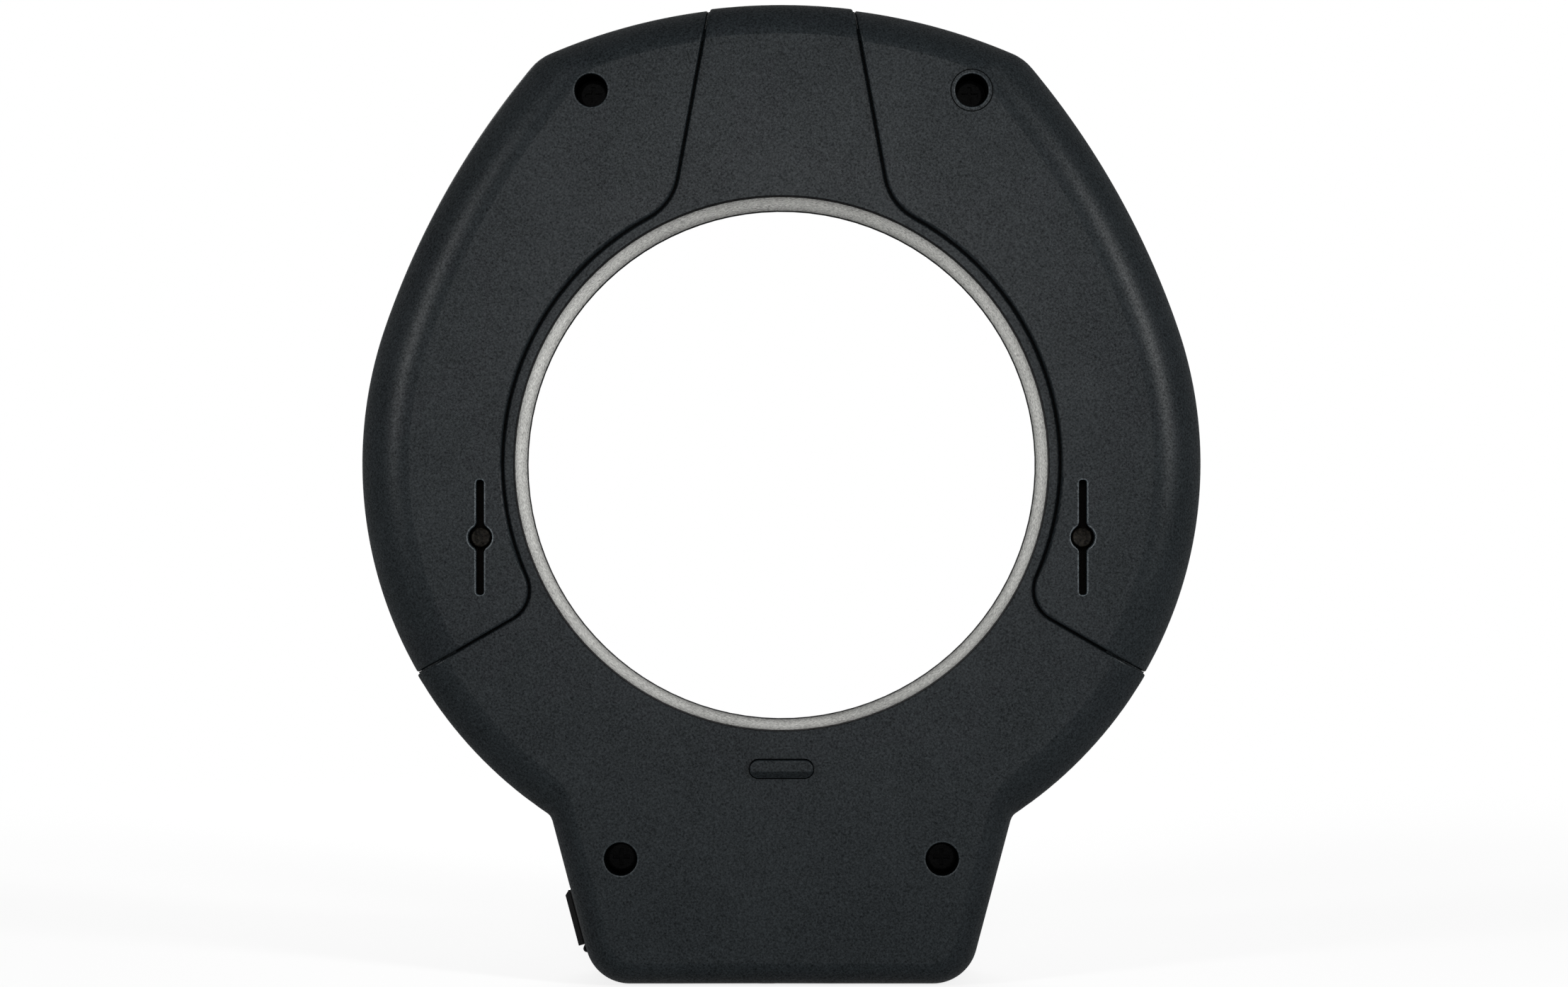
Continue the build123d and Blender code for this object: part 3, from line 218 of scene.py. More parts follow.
# Sizes that the part's source also has, in millimetres and degrees
LINER_WALL = 1.0
SCREW_HOLE_RADIUS = 2.525
HOLE_RING_RADIUS = 3.3
GROOVE_WIDTH = 0.16
GROOVE_INNER_RADIUS = HOLE_RING_RADIUS - GROOVE_WIDTH
SLOT_WIDTH = 1.22
SLOT_LENGTH = 17.7
EYE_RADIUS = 1.875
FOOT_LEAN_DEG = 14.85
WINDOW_INNER_RADIUS = 46.0
WINDOW_OUTER_RADIUS = 58.5
WINDOW_LOW_DEG = -58.0
WINDOW_HIGH_DEG = 68.0
WINDOW_MIDDLE_RADIUS = (WINDOW_INNER_RADIUS + WINDOW_OUTER_RADIUS) / 2
LED_COUNT = 13
LED_END_DEG = 6.0
LED_FIRST_DEG = WINDOW_LOW_DEG + LED_END_DEG
LED_STEP_DEG = (WINDOW_HIGH_DEG - LED_END_DEG - LED_FIRST_DEG) / (LED_COUNT - 1)


def camera_and_light():
    """The camera at the photograph's viewpoint, a lamp beside it, one at each side and one at the front."""
    camera_data = bpy.data.cameras.new("camera")
    camera_data.sensor_width = SENSOR_WIDTH
    camera_data.lens = FOCAL_LENGTH_PX * SENSOR_WIDTH / PICTURE_WIDTH_PX
    camera_data.clip_start = 10 * MM
    camera = bpy.data.objects.new("camera", camera_data)
    camera.location = CAMERA_PLACE
    camera.rotation_euler = (math.radians(90), 0, math.radians(180))
    bpy.context.scene.collection.objects.link(camera)
    bpy.context.scene.camera = camera
    for name, place, width, height, power in LAMPS:
        light = bpy.data.lights.new(name, "AREA")
        light.shape = "RECTANGLE"
        light.size = width
        light.size_y = height
        light.energy = power
        lamp = bpy.data.objects.new(name, light)
        lamp.location = place
        lamp.rotation_euler = (-Vector(place)).to_track_quat("-Z", "Y").to_euler()
        bpy.context.scene.collection.objects.link(lamp)


def seen_directly(tree):
    """A mask that is one for camera, glossy and transmitted rays, which show the white background."""
    path = tree.nodes.new("ShaderNodeLightPath")
    total = path.outputs["Is Camera Ray"]
    for name in ("Is Glossy Ray", "Is Transmission Ray"):
        largest = tree.nodes.new("ShaderNodeMath")
        largest.operation = "MAXIMUM"
        tree.links.new(total, largest.inputs[0])
        tree.links.new(path.outputs[name], largest.inputs[1])
        total = largest.outputs[0]
    return total


def white_room():
    """A world that looks white behind the object and lights it softly."""
    world = bpy.data.worlds.new("room")
    world.use_nodes = True
    tree = world.node_tree
    background = tree.nodes["Background"]
    strength = tree.nodes.new("ShaderNodeMapRange")
    tree.links.new(seen_directly(tree), strength.inputs["Value"])
    strength.inputs["To Min"].default_value = ROOM_LIGHT
    tree.links.new(strength.outputs["Result"], background.inputs["Strength"])
    background.inputs["Color"].default_value = (1, 1, 1, 1)
    bpy.context.scene.world = world


def floor():
    """A white table top under the foot: it keeps the shadow close by, and runs out into the white room."""
    mesh = bmesh.new()
    bmesh.ops.create_circle(mesh, cap_ends=True, segments=TABLE_FACETS, radius=TABLE_RADIUS)
    bmesh.ops.translate(mesh, vec=(0, 0, cad_box[0].z), verts=mesh.verts)
    table = bpy.data.objects.new("table_top", bpy.data.meshes.new("table_top"))
    mesh.to_mesh(table.data)
    mesh.free()
    bpy.context.scene.collection.objects.link(table)
    paint = bpy.data.materials.new("table_white")
    paint.use_nodes = True
    tree = paint.node_tree
    shader = tree.nodes["Principled BSDF"]
    shader.inputs["Base Color"].default_value = (TABLE_WHITE, TABLE_WHITE, TABLE_WHITE, 1)
    shader.inputs["Roughness"].default_value = TABLE_ROUGHNESS
    place = tree.nodes.new("ShaderNodeTexCoord")
    away = tree.nodes.new("ShaderNodeVectorMath")
    away.operation = "LENGTH"
    tree.links.new(place.outputs["Object"], away.inputs[0])
    fading = tree.nodes.new("ShaderNodeMapRange")
    fading.interpolation_type = "SMOOTHSTEP"
    fading.inputs["From Min"].default_value = SHADOW_RADIUS
    fading.inputs["From Max"].default_value = WHITE_RADIUS
    fading.inputs["To Min"].default_value = SHADOW_GLOW
    tree.links.new(away.outputs["Value"], fading.inputs["Value"])
    share = tree.nodes.new("ShaderNodeMath")
    share.operation = "MULTIPLY"
    tree.links.new(seen_directly(tree), share.inputs[0])
    tree.links.new(fading.outputs["Result"], share.inputs[1])
    glow = tree.nodes.new("ShaderNodeEmission")
    mix = tree.nodes.new("ShaderNodeMixShader")
    tree.links.new(share.outputs[0], mix.inputs["Fac"])
    tree.links.new(shader.outputs["BSDF"], mix.inputs[1])
    tree.links.new(glow.outputs["Emission"], mix.inputs[2])
    tree.links.new(mix.outputs["Shader"], tree.nodes["Material Output"].inputs["Surface"])
    table.data.materials.append(paint)


def new_group(name, inputs, outputs):
    """An empty shader node group with named inputs and outputs."""
    group = bpy.data.node_groups.new(name, "ShaderNodeTree")
    for socket, kind, value in inputs:
        made = group.interface.new_socket(name=socket, in_out="INPUT", socket_type=kind)
        made.default_value = value
    for socket, kind in outputs:
        group.interface.new_socket(name=socket, in_out="OUTPUT", socket_type=kind)
    return group, group.nodes.new("NodeGroupInput"), group.nodes.new("NodeGroupOutput")


def reckon(tree, operation, *terms):
    """A math node in a node tree: each term is a number or an output socket."""
    node = tree.nodes.new("ShaderNodeMath")
    node.operation = operation
    for place, term in enumerate(terms):
        if isinstance(term, (int, float)):
            node.inputs[place].default_value = term
        else:
            tree.links.new(term, node.inputs[place])
    return node.outputs[0]


def noise(group, place, scale):
    """A three-dimensional noise, whose scale is a number or an output socket."""
    node = group.nodes.new("ShaderNodeTexNoise")
    node.inputs["Detail"].default_value = NOISE_DETAIL
    node.inputs["Roughness"].default_value = NOISE_ROUGHNESS
    group.links.new(place, node.inputs["Vector"])
    if isinstance(scale, (int, float)):
        node.inputs["Scale"].default_value = scale
    else:
        group.links.new(scale, node.inputs["Scale"])
    return node.outputs["Fac"]


def vectors(group, operation, first, second):
    """A vector math node in a group, between two output sockets."""
    node = group.nodes.new("ShaderNodeVectorMath")
    node.operation = operation
    group.links.new(first, node.inputs[0])
    group.links.new(second, node.inputs[1])
    return node.outputs["Vector"]


def clamped(group, value):
    """A value kept between zero and one."""
    node = group.nodes.new("ShaderNodeClamp")
    group.links.new(value, node.inputs["Value"])
    return node.outputs["Result"]


def grain_group():
    """Moulded or blasted grain: a fine speckle, a slow drift of tone and the height of a fine relief."""
    group, given, out = new_group(
        "surface_grain",
        (
            ("Colour", "NodeSocketColor", (0.02, 0.02, 0.02, 1)),
            ("Grain Size", "NodeSocketFloat", 0.0004),
            ("Stretch", "NodeSocketFloat", 1.0),
            ("Speckle", "NodeSocketFloat", 2.0),
            ("Drift", "NodeSocketFloat", 0.4),
            ("Roughness", "NodeSocketFloat", 0.5),
        ),
        (
            ("Colour", "NodeSocketColor"),
            ("Tone", "NodeSocketFloat"),
            ("Roughness", "NodeSocketFloat"),
            ("Height", "NodeSocketFloat"),
        ),
    )
    drawn = group.nodes.new("ShaderNodeCombineXYZ")
    drawn.inputs["X"].default_value = 1
    drawn.inputs["Z"].default_value = 1
    group.links.new(reckon(group, "DIVIDE", 1.0, given.outputs["Stretch"]), drawn.inputs["Y"])
    place = group.nodes.new("ShaderNodeTexCoord").outputs["Object"]
    turn = group.nodes.new("ShaderNodeMapping")
    turn.inputs["Rotation"].default_value = GRAIN_TURN
    group.links.new(vectors(group, "MULTIPLY", place, drawn.outputs["Vector"]), turn.inputs["Vector"])
    place = turn.outputs["Vector"]
    fine = noise(group, place, reckon(group, "DIVIDE", 1.0, given.outputs["Grain Size"]))
    slow = noise(group, place, DRIFT_SCALE)
    speckle = reckon(group, "MULTIPLY", reckon(group, "SUBTRACT", fine, 0.5), given.outputs["Speckle"])
    drift = reckon(group, "MULTIPLY", reckon(group, "SUBTRACT", slow, 0.5), given.outputs["Drift"])
    shift = reckon(group, "ADD", speckle, drift)
    tone = reckon(group, "MAXIMUM", reckon(group, "ADD", shift, 1.0), LEAST_TONE)
    tinted = group.nodes.new("ShaderNodeVectorMath")
    tinted.operation = "SCALE"
    group.links.new(given.outputs["Colour"], tinted.inputs[0])
    group.links.new(tone, tinted.inputs["Scale"])
    group.links.new(tinted.outputs["Vector"], out.inputs["Colour"])
    rough = reckon(group, "MULTIPLY_ADD", drift, DRIFT_ROUGHNESS, given.outputs["Roughness"])
    group.links.new(rough, out.inputs["Roughness"])
    group.links.new(tone, out.inputs["Tone"])
    group.links.new(fine, out.inputs["Height"])
    return group


def disc_group():
    """A mask that is one within a radius of a centre, or of an upright line through it, seen along Y."""
    group, given, out = new_group(
        "round_mask",
        (
            ("Centre", "NodeSocketVector", (0, 0, 0)),
            ("Radius", "NodeSocketFloat", 0.001),
            ("Half Length", "NodeSocketFloat", 0.0),
        ),
        (("Mask", "NodeSocketFloat"),),
    )
    place = group.nodes.new("ShaderNodeTexCoord").outputs["Object"]
    away = group.nodes.new("ShaderNodeSeparateXYZ")
    group.links.new(vectors(group, "SUBTRACT", place, given.outputs["Centre"]), away.inputs[0])
    upright = reckon(group, "ABSOLUTE", away.outputs["Z"])
    past = reckon(group, "SUBTRACT", upright, given.outputs["Half Length"])
    upwards = reckon(group, "MAXIMUM", past, 0.0)
    squares = [reckon(group, "MULTIPLY", side, side) for side in (away.outputs["X"], upwards)]
    span = reckon(group, "SQRT", reckon(group, "ADD", *squares))
    inside = reckon(group, "SUBTRACT", given.outputs["Radius"], span)
    mask = reckon(group, "ADD", reckon(group, "DIVIDE", inside, MASK_SOFTNESS * MM), 0.5)
    group.links.new(clamped(group, mask), out.inputs["Mask"])
    return group


def bed_group():
    """A mask that is one on flat ground at one depth that faces the rear, and zero elsewhere."""
    group, given, out = new_group(
        "bed_mask", (("Depth", "NodeSocketFloat", 0.0),), (("Mask", "NodeSocketFloat"),)
    )
    texture = group.nodes.new("ShaderNodeTexCoord")
    place = group.nodes.new("ShaderNodeSeparateXYZ")
    group.links.new(texture.outputs["Object"], place.inputs[0])
    facing = group.nodes.new("ShaderNodeSeparateXYZ")
    group.links.new(texture.outputs["Normal"], facing.inputs[0])
    off = reckon(group, "ABSOLUTE", reckon(group, "SUBTRACT", place.outputs["Y"], given.outputs["Depth"]))
    near = reckon(group, "LESS_THAN", off, MASK_SOFTNESS * MM)
    flat = reckon(group, "GREATER_THAN", facing.outputs["Y"], FLAT_FACING)
    group.links.new(reckon(group, "MULTIPLY", near, flat), out.inputs["Mask"])
    return group


def finish_of(name, colour, roughness, grain_size, speckle, drift, relief, plain, stretch=1.0):
    """A material with grain in its colour, roughness and relief; plain values go on the shader itself."""
    material = bpy.data.materials.new(name)
    material.use_nodes = True
    tree = material.node_tree
    shader = tree.nodes["Principled BSDF"]
    texture = tree.nodes.new("ShaderNodeGroup")
    texture.name = GRAIN_NODE
    texture.node_tree = groups["grain"]
    texture.inputs["Colour"].default_value = (*colour, 1)
    texture.inputs["Grain Size"].default_value = grain_size * MM
    texture.inputs["Stretch"].default_value = stretch
    texture.inputs["Speckle"].default_value = speckle
    texture.inputs["Drift"].default_value = drift
    texture.inputs["Roughness"].default_value = roughness
    bump = tree.nodes.new("ShaderNodeBump")
    bump.inputs["Distance"].default_value = relief * MM
    tree.links.new(texture.outputs["Height"], bump.inputs["Height"])
    tree.links.new(texture.outputs["Colour"], shader.inputs["Base Color"])
    tree.links.new(texture.outputs["Roughness"], shader.inputs["Roughness"])
    tree.links.new(bump.outputs["Normal"], shader.inputs["Normal"])
    for socket, value in plain.items():
        shader.inputs[socket].default_value = value
    return material


def masked(material, group, settings, inside, outside=1.0):
    """A share over a material's surface: one value inside a mask, and another outside it."""
    tree = material.node_tree
    mask = tree.nodes.new("ShaderNodeGroup")
    mask.node_tree = groups[group]
    for socket, value in settings.items():
        mask.inputs[socket].default_value = value
    share = tree.nodes.new("ShaderNodeMapRange")
    share.inputs["To Min"].default_value = outside
    share.inputs["To Max"].default_value = inside
    tree.links.new(mask.outputs["Mask"], share.inputs["Value"])
    return share.outputs["Result"]


def recolour(material, share):
    """Scales a material's colour by a share over its surface."""
    tree = material.node_tree
    shader = tree.nodes["Principled BSDF"]
    colour = shader.inputs["Base Color"].links[0].from_socket
    scaled = tree.nodes.new("ShaderNodeVectorMath")
    scaled.operation = "SCALE"
    tree.links.new(colour, scaled.inputs[0])
    tree.links.new(share, scaled.inputs["Scale"])
    tree.links.new(scaled.outputs["Vector"], shader.inputs["Base Color"])


def rim(material, centre, radius, width, rim_share, half_length=0.0):
    """A share that sets off a rim just outside a round hole, or outside an upright slot."""
    tree = material.node_tree
    settings = {"Centre": centre, "Half Length": half_length}
    inner = masked(material, "disc", {**settings, "Radius": radius}, 1.0, 0.0)
    outer = masked(material, "disc", {**settings, "Radius": radius + width}, 1.0, 0.0)
    return reckon(tree, "MULTIPLY_ADD", reckon(tree, "SUBTRACT", outer, inner), rim_share - 1, 1.0)


def screw_places(node):
    """The places of a node's two screws, as X and Z in metres: its box just holds both round heads."""
    low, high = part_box(node)
    z = (low.z + high.z) / 2
    inset = (high.z - low.z) / 2
    return (low.x + inset, z), (high.x - inset, z)


def moulded_plastic(name, colour, holes=(), slots=(), ringed=None):
    """Textured black plastic with a dull skin, painted shade in seams and holes and painted highlights round
    them.

    A ringed hole has a paler band round it, and painted shade in a fine groove round that.
    """
    material = finish_of(name, colour, *MOULDED)
    tree = material.node_tree
    shader = tree.nodes["Principled BSDF"]
    # Painted shade on the floor of the seams between the panels and the cover
    painted_shading = masked(material, "bed", {"Depth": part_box("left_slot_insert")[1].y}, BED_PAINTED_SHADE)
    # Painted shade on the lip round the opening
    opening = {"Radius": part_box("bore_liner")[1].x - LINER_WALL * MM + MASK_SOFTNESS * MM}
    painted_shading = reckon(tree, "MULTIPLY", painted_shading, masked(material, "disc", opening, HOLE_PAINTED_SHADE))
    highlight_width = HIGHLIGHT_RIM_WIDTH * MM
    # Painted shade in each screw hole, and a painted highlight on its rim
    for x, z in holes:
        hole = {"Centre": (x, 0, z), "Radius": (SCREW_HOLE_RADIUS + MASK_SOFTNESS) * MM}
        painted_shading = reckon(tree, "MULTIPLY", painted_shading, masked(material, "disc", hole, HOLE_PAINTED_SHADE))
        edge = rim(material, hole["Centre"], hole["Radius"], highlight_width, HOLE_RIM_HIGHLIGHT)
        painted_shading = reckon(tree, "MULTIPLY", painted_shading, edge)
    # Painted highlights on the rims of the slots and their eyes
    for node in slots:
        x, _, z = middle(node) * MM
        eye = rim(material, (x, 0, z), EYE_RADIUS * MM, highlight_width, SLOT_RIM_HIGHLIGHT)
        half_length = (SLOT_LENGTH - SLOT_WIDTH) / 2 * MM
        slot = rim(material, (x, 0, z), SLOT_WIDTH / 2 * MM, highlight_width, SLOT_RIM_HIGHLIGHT, half_length)
        painted_shading = reckon(tree, "MULTIPLY", painted_shading, reckon(tree, "MAXIMUM", eye, slot))
    if ringed:
        centre = (ringed[0], 0, ringed[1])
        radius = GROOVE_INNER_RADIUS * MM
        band = masked(material, "disc", {"Centre": centre, "Radius": radius}, HOLE_RING_SHARE)
        # Painted shade in the groove
        groove = rim(material, centre, radius, GROOVE_WIDTH * MM, GROOVE_PAINTED_SHADE)
        painted_shading = reckon(tree, "MULTIPLY", painted_shading, reckon(tree, "MULTIPLY", band, groove))
    recolour(material, painted_shading)
    skin = reckon(tree, "MULTIPLY", tree.nodes[GRAIN_NODE].outputs["Tone"], SKIN_SHARE)
    tree.links.new(reckon(tree, "MULTIPLY", skin, painted_shading), shader.inputs["Coat Weight"])
    shader.inputs["Coat Roughness"].default_value = SKIN_ROUGHNESS
    return material


def blasted_sleeve(name, colour):
    """Blasted aluminium with a speckle drawn out along the opening, and painted shade towards both ends."""
    material = finish_of(name, colour, *BLASTED, BLASTED_STRETCH)
    tree = material.node_tree
    place = tree.nodes.new("ShaderNodeSeparateXYZ")
    tree.links.new(tree.nodes.new("ShaderNodeTexCoord").outputs["Object"], place.inputs[0])
    low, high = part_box("bore_liner")
    along = tree.nodes.new("ShaderNodeMapRange")
    along.inputs["From Min"].default_value = low.y
    along.inputs["From Max"].default_value = high.y
    along.inputs["To Min"].default_value = -1
    tree.links.new(place.outputs["Y"], along.inputs["Value"])
    # Painted shade towards both ends of the sleeve
    painted_end_shade = reckon(tree, "MULTIPLY", along.outputs["Result"], along.outputs["Result"])
    recolour(material, reckon(tree, "MULTIPLY_ADD", painted_end_shade, -SLEEVE_END_PAINTED_SHADE, 1.0))
    return material


def materials():
    """One material for each of the record's slots, and the few that differ from their slot's own."""
    holes = (*screw_places("panel_screws"), *screw_places("cover_screws"))
    slots = ("left_slot_insert", "right_slot_insert")
    made = {
        "body_plastic": moulded_plastic("body_plastic", CHARCOAL, holes, slots),
        "ringed_plastic": moulded_plastic("ringed_plastic", CHARCOAL, holes, slots, holes[0]),
        "front_plastic": moulded_plastic("front_plastic", FRONT_BLACK),
        "liner_grey": blasted_sleeve("liner_grey", SLEEVE_GREY),
    }
    for name, values in FINISHES.items():
        made[name] = finish_of(name, *values)
    return made


def new_piece(mesh, name, body, paint):
    """A piece modelled in millimetres, with its faces turned outwards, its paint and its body."""
    bmesh.ops.remove_doubles(mesh, verts=mesh.verts, dist=WELD_DISTANCE)
    bmesh.ops.recalc_face_normals(mesh, faces=mesh.faces)
    bmesh.ops.scale(mesh, vec=(MM, MM, MM), verts=mesh.verts)
    piece = bpy.data.objects.new(name, bpy.data.meshes.new(name))
    mesh.to_mesh(piece.data)
    mesh.free()
    bpy.context.scene.collection.objects.link(piece)
    piece.data.materials.append(paints[paint])
    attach(piece, body)


def middle(node):
    """The middle of a node's box, in millimetres."""
    low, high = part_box(node)
    return (low + high) / 2 / MM


def front_of(node):
    """The depth of a node's front, in millimetres."""
    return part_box(node)[0].y / MM


def bar(mesh, centre, size, rounding=ICON_ROUNDING, lean_deg=0.0):
    """A bar laid on a front face: centre and full size along X, Y and Z, rounded corners, leant about Y."""
    made = bmesh.ops.create_cube(mesh, size=1.0)["verts"]
    bmesh.ops.scale(mesh, vec=size, verts=made)
    upright = [
        edge for edge in {edge for vert in made for edge in vert.link_edges}
        if abs(edge.verts[0].co.y - edge.verts[1].co.y) > size[1] / 2
    ]
    before = set(mesh.verts) - set(made)
    bmesh.ops.bevel(
        mesh, geom=upright, offset=rounding, offset_type="OFFSET", segments=2, profile=0.5,
        affect="EDGES", material=-1,
    )
    made = [vert for vert in mesh.verts if vert not in before]
    turn = Matrix.Rotation(math.radians(lean_deg), 3, "Y")
    bmesh.ops.rotate(mesh, cent=(0, 0, 0), matrix=turn, verts=made)
    bmesh.ops.translate(mesh, vec=centre, verts=made)


def bend(mesh, centre, start_deg, turn_deg):
    """An icon's stroke with square ends, bent about Y: its angles run from +X towards +Z."""
    angle = math.radians(start_deg)
    corners = []
    for out, along in ((-1, -1), (1, -1), (1, 1), (-1, 1)):
        reach = ICON_REACH + out * ICON_STROKE / 2
        spot = Vector((reach * math.cos(angle), along * ICON_DEPTH / 2, reach * math.sin(angle)))
        corners.append(mesh.verts.new(centre + spot))
    face = mesh.faces.new(corners)
    bmesh.ops.spin(
        mesh, geom=[face, *face.edges, *face.verts], cent=centre, axis=(0, -1, 0),
        angle=math.radians(turn_deg), steps=round(turn_deg / BEND_STEP_DEG), use_merge=False,
    )


def turned(mesh, profile, centre, facets=DISC_FACETS):
    """A turned shape about Y: the profile gives a radius and a height towards the rear at each point."""
    chain = [mesh.verts.new(Vector(centre) + Vector((radius, height, 0))) for radius, height in profile]
    edges = [mesh.edges.new(pair) for pair in zip(chain, chain[1:])]
    bmesh.ops.spin(
        mesh, geom=[*chain, *edges], cent=centre, axis=(0, 1, 0), angle=math.tau, steps=facets,
        use_merge=True,
    )


def power_sign(mesh, place):
    """An open ring with an upright stroke in its gap."""
    bend(mesh, place, 90 + POWER_GAP_DEG / 2, 360 - POWER_GAP_DEG)
    upright = place + Vector((0, 0, ICON_REACH - ICON_STROKE))
    bar(mesh, upright, (ICON_STROKE, ICON_DEPTH, ICON_REACH))


def mode_sign(mesh, place):
    """A dot between two arcs, for the choice of side."""
    for start_deg in (-90 + MODE_GAP_DEG / 2, 90 + MODE_GAP_DEG / 2):
        bend(mesh, place, start_deg, 180 - MODE_GAP_DEG)
    front, rear = -ICON_DEPTH / 2, ICON_DEPTH / 2
    turned(mesh, ((0, front), (DOT_RADIUS, front), (DOT_RADIUS, rear), (0, rear)), place)


def minus_sign(mesh, place):
    """A level stroke."""
    bar(mesh, place, (2 * ICON_REACH, ICON_DEPTH, ICON_STROKE))


def plus_sign(mesh, place):
    """A level stroke, crossed by an upright one that lies a step lower."""
    minus_sign(mesh, place)
    bar(mesh, place + Vector((0, STROKE_STEP, 0)), (ICON_STROKE, ICON_DEPTH, 2 * ICON_REACH))


def button_icons():
    """Generic signs moulded in white on the front buttons."""
    signs = {"power": power_sign, "mode": mode_sign, "minus": minus_sign, "plus": plus_sign}
    for name, sign in signs.items():
        node = name + "_button"
        x, _, z = middle(node)
        mesh = bmesh.new()
        sign(mesh, Vector((x, front_of(node) + (ROOT - ICON_RISE) / 2, z)))
        new_piece(mesh, name + "_icon", node, "reflector_white")


def display_figures():
    """Seven-segment figures and a row of level bars on the display, of a plain and common kind."""
    segments = {
        "a": (0, 1, True), "b": (1, 0.5, False), "c": (1, -0.5, False), "d": (0, -1, True),
        "e": (-1, -0.5, False), "f": (-1, 0.5, False), "g": (0, 0, True),
    }
    lit = {"7": "abc", "5": "afgcd"}
    centre = middle("display_module")
    depth = SEGMENT_RISE + ROOT
    y = front_of("display_module") + (ROOT - SEGMENT_RISE) / 2
    half_width, half_height = DIGIT_WIDTH / 2, DIGIT_HEIGHT / 2
    lean = math.tan(math.radians(SEGMENT_LEAN_DEG))
    mesh = bmesh.new()
    for place, figure in enumerate("75"):
        for name in lit[figure]:
            across, up, level = segments[name]
            z = up * half_height
            x = centre.x + FIGURES_START + place * DIGIT_PITCH + across * half_width + z * lean
            length = (DIGIT_WIDTH if level else half_height) - SEGMENT_WIDTH - SEGMENT_GAP
            size = (length, depth, SEGMENT_WIDTH) if level else (SEGMENT_WIDTH, depth, length)
            bar(mesh, (x, y, centre.z + z), size, SEGMENT_ROUNDING, 0 if level else SEGMENT_LEAN_DEG)
    for step in range(LEVEL_BARS):
        height = LEVEL_BAR_LEAST + step * (DIGIT_HEIGHT - LEVEL_BAR_LEAST) / (LEVEL_BARS - 1)
        x = centre.x + LEVELS_START + step * LEVEL_PITCH
        z = centre.z - half_height + height / 2
        bar(mesh, (x, y, z), (LEVEL_BAR_WIDTH, depth, height), LEVEL_BAR_ROUNDING)
    new_piece(mesh, "display_figures", "housing", "display_ink")


def led_lenses():
    """A dome on each LED behind the two light windows."""
    angles = [turn * math.pi / 2 / LENS_STEPS for turn in range(LENS_STEPS + 1)]
    dome = [(LENS_RADIUS * math.sin(angle), -LENS_RISE * math.cos(angle)) for angle in angles]
    for name, side in (("left", 1), ("right", -1)):
        front = front_of(name + "_leds")
        mesh = bmesh.new()
        for place in range(LED_COUNT):
            angle = math.radians(LED_FIRST_DEG + place * LED_STEP_DEG)
            across, up = side * math.cos(angle), math.sin(angle)
            spot = Vector((across * WINDOW_MIDDLE_RADIUS, front, up * WINDOW_MIDDLE_RADIUS))
            turned(mesh, [*dome, (LENS_RADIUS, ROOT), (0, ROOT)], spot, LENS_FACETS)
        new_piece(mesh, name + "_led_lenses", "housing", "led_package")


def window_ribs():
    """Fine radial ribs on the face of each light window."""
    for name, side in (("left", 1), ("right", -1)):
        front = front_of(name + "_window")
        length = WINDOW_OUTER_RADIUS - WINDOW_INNER_RADIUS - 2 * RIB_SIDE_MARGIN
        first = WINDOW_LOW_DEG + RIB_END_MARGIN_DEG
        count = int((WINDOW_HIGH_DEG - RIB_END_MARGIN_DEG - first) / RIB_STEP_DEG) + 1
        mesh = bmesh.new()
        for place in range(count):
            angle = first + place * RIB_STEP_DEG
            rib = bmesh.ops.create_cone(
                mesh, cap_ends=True, segments=RIB_FACETS, radius1=RIB_HALF_WIDTH * RIB_TAPER,
                radius2=RIB_HALF_WIDTH, depth=length,
            )["verts"]
            bmesh.ops.scale(mesh, vec=(1, RIB_RISE / RIB_HALF_WIDTH, 1), verts=rib)
            bmesh.ops.translate(mesh, vec=(0, 0, WINDOW_MIDDLE_RADIUS), verts=rib)
            turn = Matrix.Rotation(side * math.radians(90 - angle), 3, "Y")
            bmesh.ops.rotate(mesh, cent=(0, 0, 0), matrix=turn, verts=rib)
            bmesh.ops.translate(mesh, vec=(0, front, 0), verts=rib)
        new_piece(mesh, name + "_window_ribs", "housing", "window_milk")


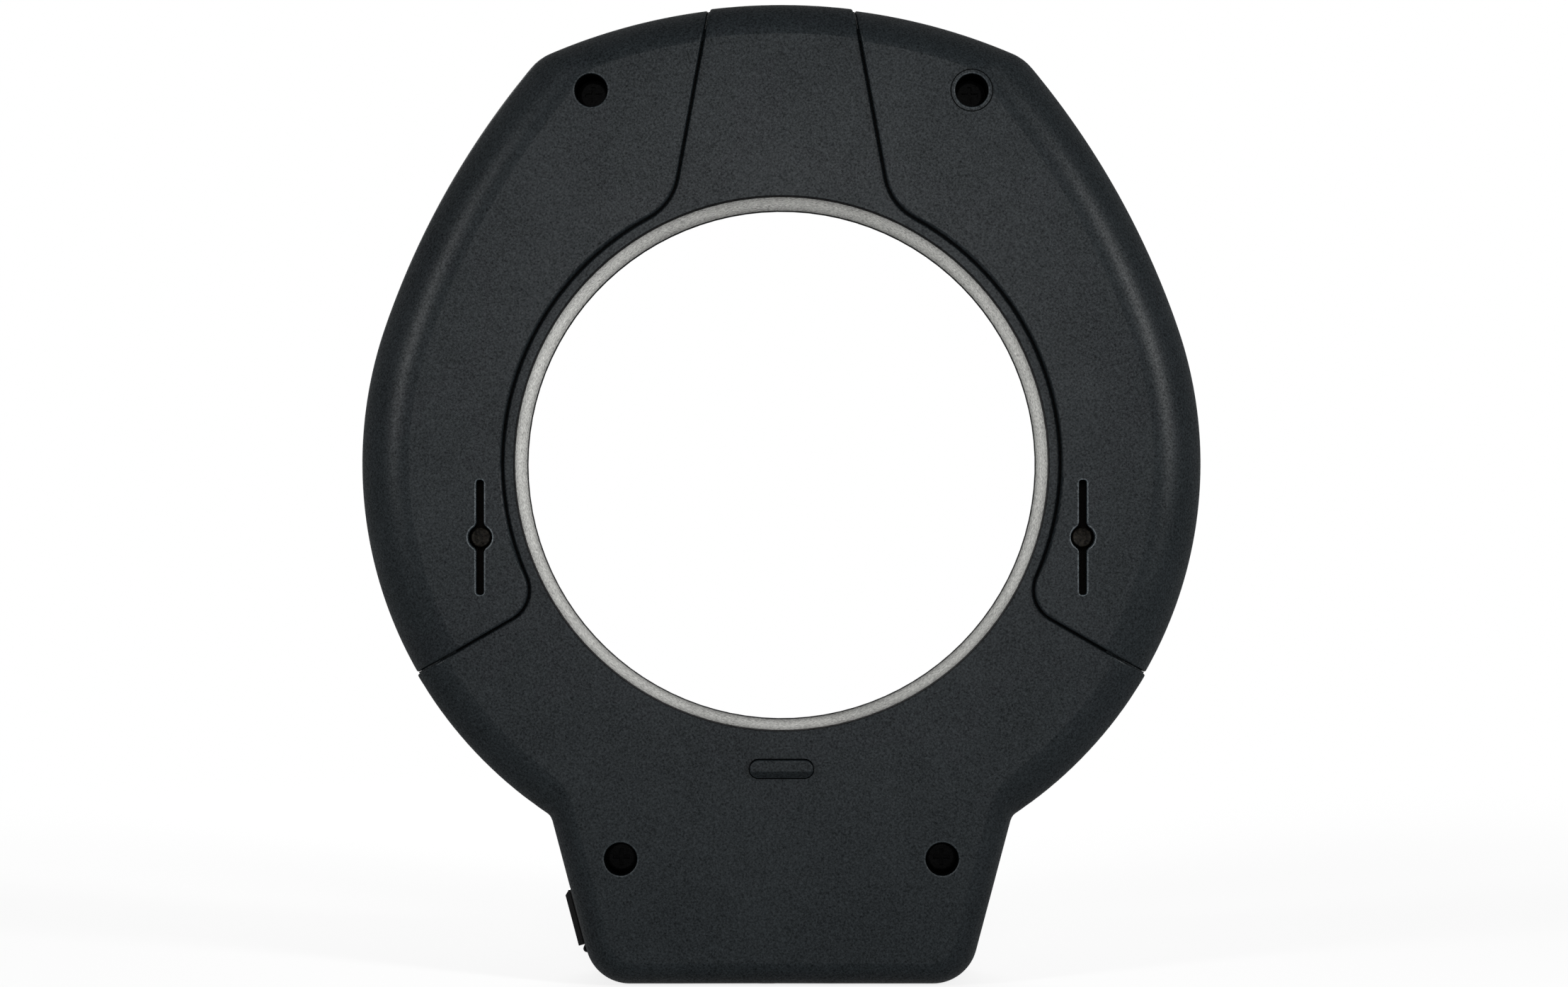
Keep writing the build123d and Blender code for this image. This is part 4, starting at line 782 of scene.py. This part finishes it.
def eye_bosses():
    """The rough round heads that show in the eyes of the two accessory slots."""
    for name in ("left", "right"):
        node = name + "_slot_insert"
        x, _, z = middle(node)
        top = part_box(node)[1].y / MM
        mesh = bmesh.new()
        turned(mesh, [*BOSS_TOP, (BOSS_TOP[-1][0], -ROOT), (0, -ROOT)], (x, top, z))
        # Only the face is rough: the skirt stays round
        for vert in mesh.verts:
            if vert.co.y > top + ROOT:
                vert.co.y += BOSS_NOISE * noise_of(vert.co * BOSS_NOISE_SCALE)
        new_piece(mesh, name + "_eye_boss", "housing", "boss_plastic")


def flap_beads():
    """A fine bead along both edges of the socket flap."""
    low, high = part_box("socket_flap")
    joints = frame["record"]["behaviour"]["joints"]
    pivot = next(Vector(joint["pos_m"]) / MM for joint in joints if joint["name"] == "flap_hinge")
    lean = math.radians(FOOT_LEAN_DEG)
    up = Vector((math.sin(lean), 0, math.cos(lean)))
    out = Vector((math.cos(lean), 0, -math.sin(lean)))
    place = pivot + up * BEAD_START + out * BEAD_OFFSET
    mesh = bmesh.new()
    angles = [turn * math.pi / 2 / BEAD_STEPS for turn in range(BEAD_STEPS + 1)]
    profile = [(BEAD_RADIUS * math.sin(angle), BEAD_RADIUS * (1 - math.cos(angle))) for angle in angles]
    profile += [(radius, BEAD_LENGTH - height) for radius, height in reversed(profile)]
    upright = Matrix.Rotation(lean, 3, "Y") @ Matrix.Rotation(math.radians(90), 3, "X")
    for y in (low.y / MM, high.y / MM):
        before = len(mesh.verts)
        turned(mesh, profile, (0, 0, 0), BEAD_FACETS)
        mesh.verts.ensure_lookup_table()
        bead = mesh.verts[before:]
        bmesh.ops.rotate(mesh, cent=(0, 0, 0), matrix=upright, verts=bead)
        bmesh.ops.translate(mesh, vec=(place.x, y, place.z), verts=bead)
    new_piece(mesh, "flap_beads", "socket_flap", "flap_plastic")


camera_and_light()
white_room()
floor()
groups = {"grain": grain_group(), "disc": disc_group(), "bed": bed_group()}
paints = materials()
slot_of = {part["node"]: part["material_slot"] for part in frame["record"]["subparts"]}
own_paint = {"right_side_panel": "ringed_plastic", "flap_pin": "black_screw"}
for name, node in nodes.items():
    paint = own_paint.get(name, slot_of[name])
    node.data.materials.clear()
    node.data.materials.append(paints[paint])
button_icons()
display_figures()
led_lenses()
window_ribs()
eye_bosses()
flap_beads()

bpy.context.scene.view_settings.view_transform = "Standard"
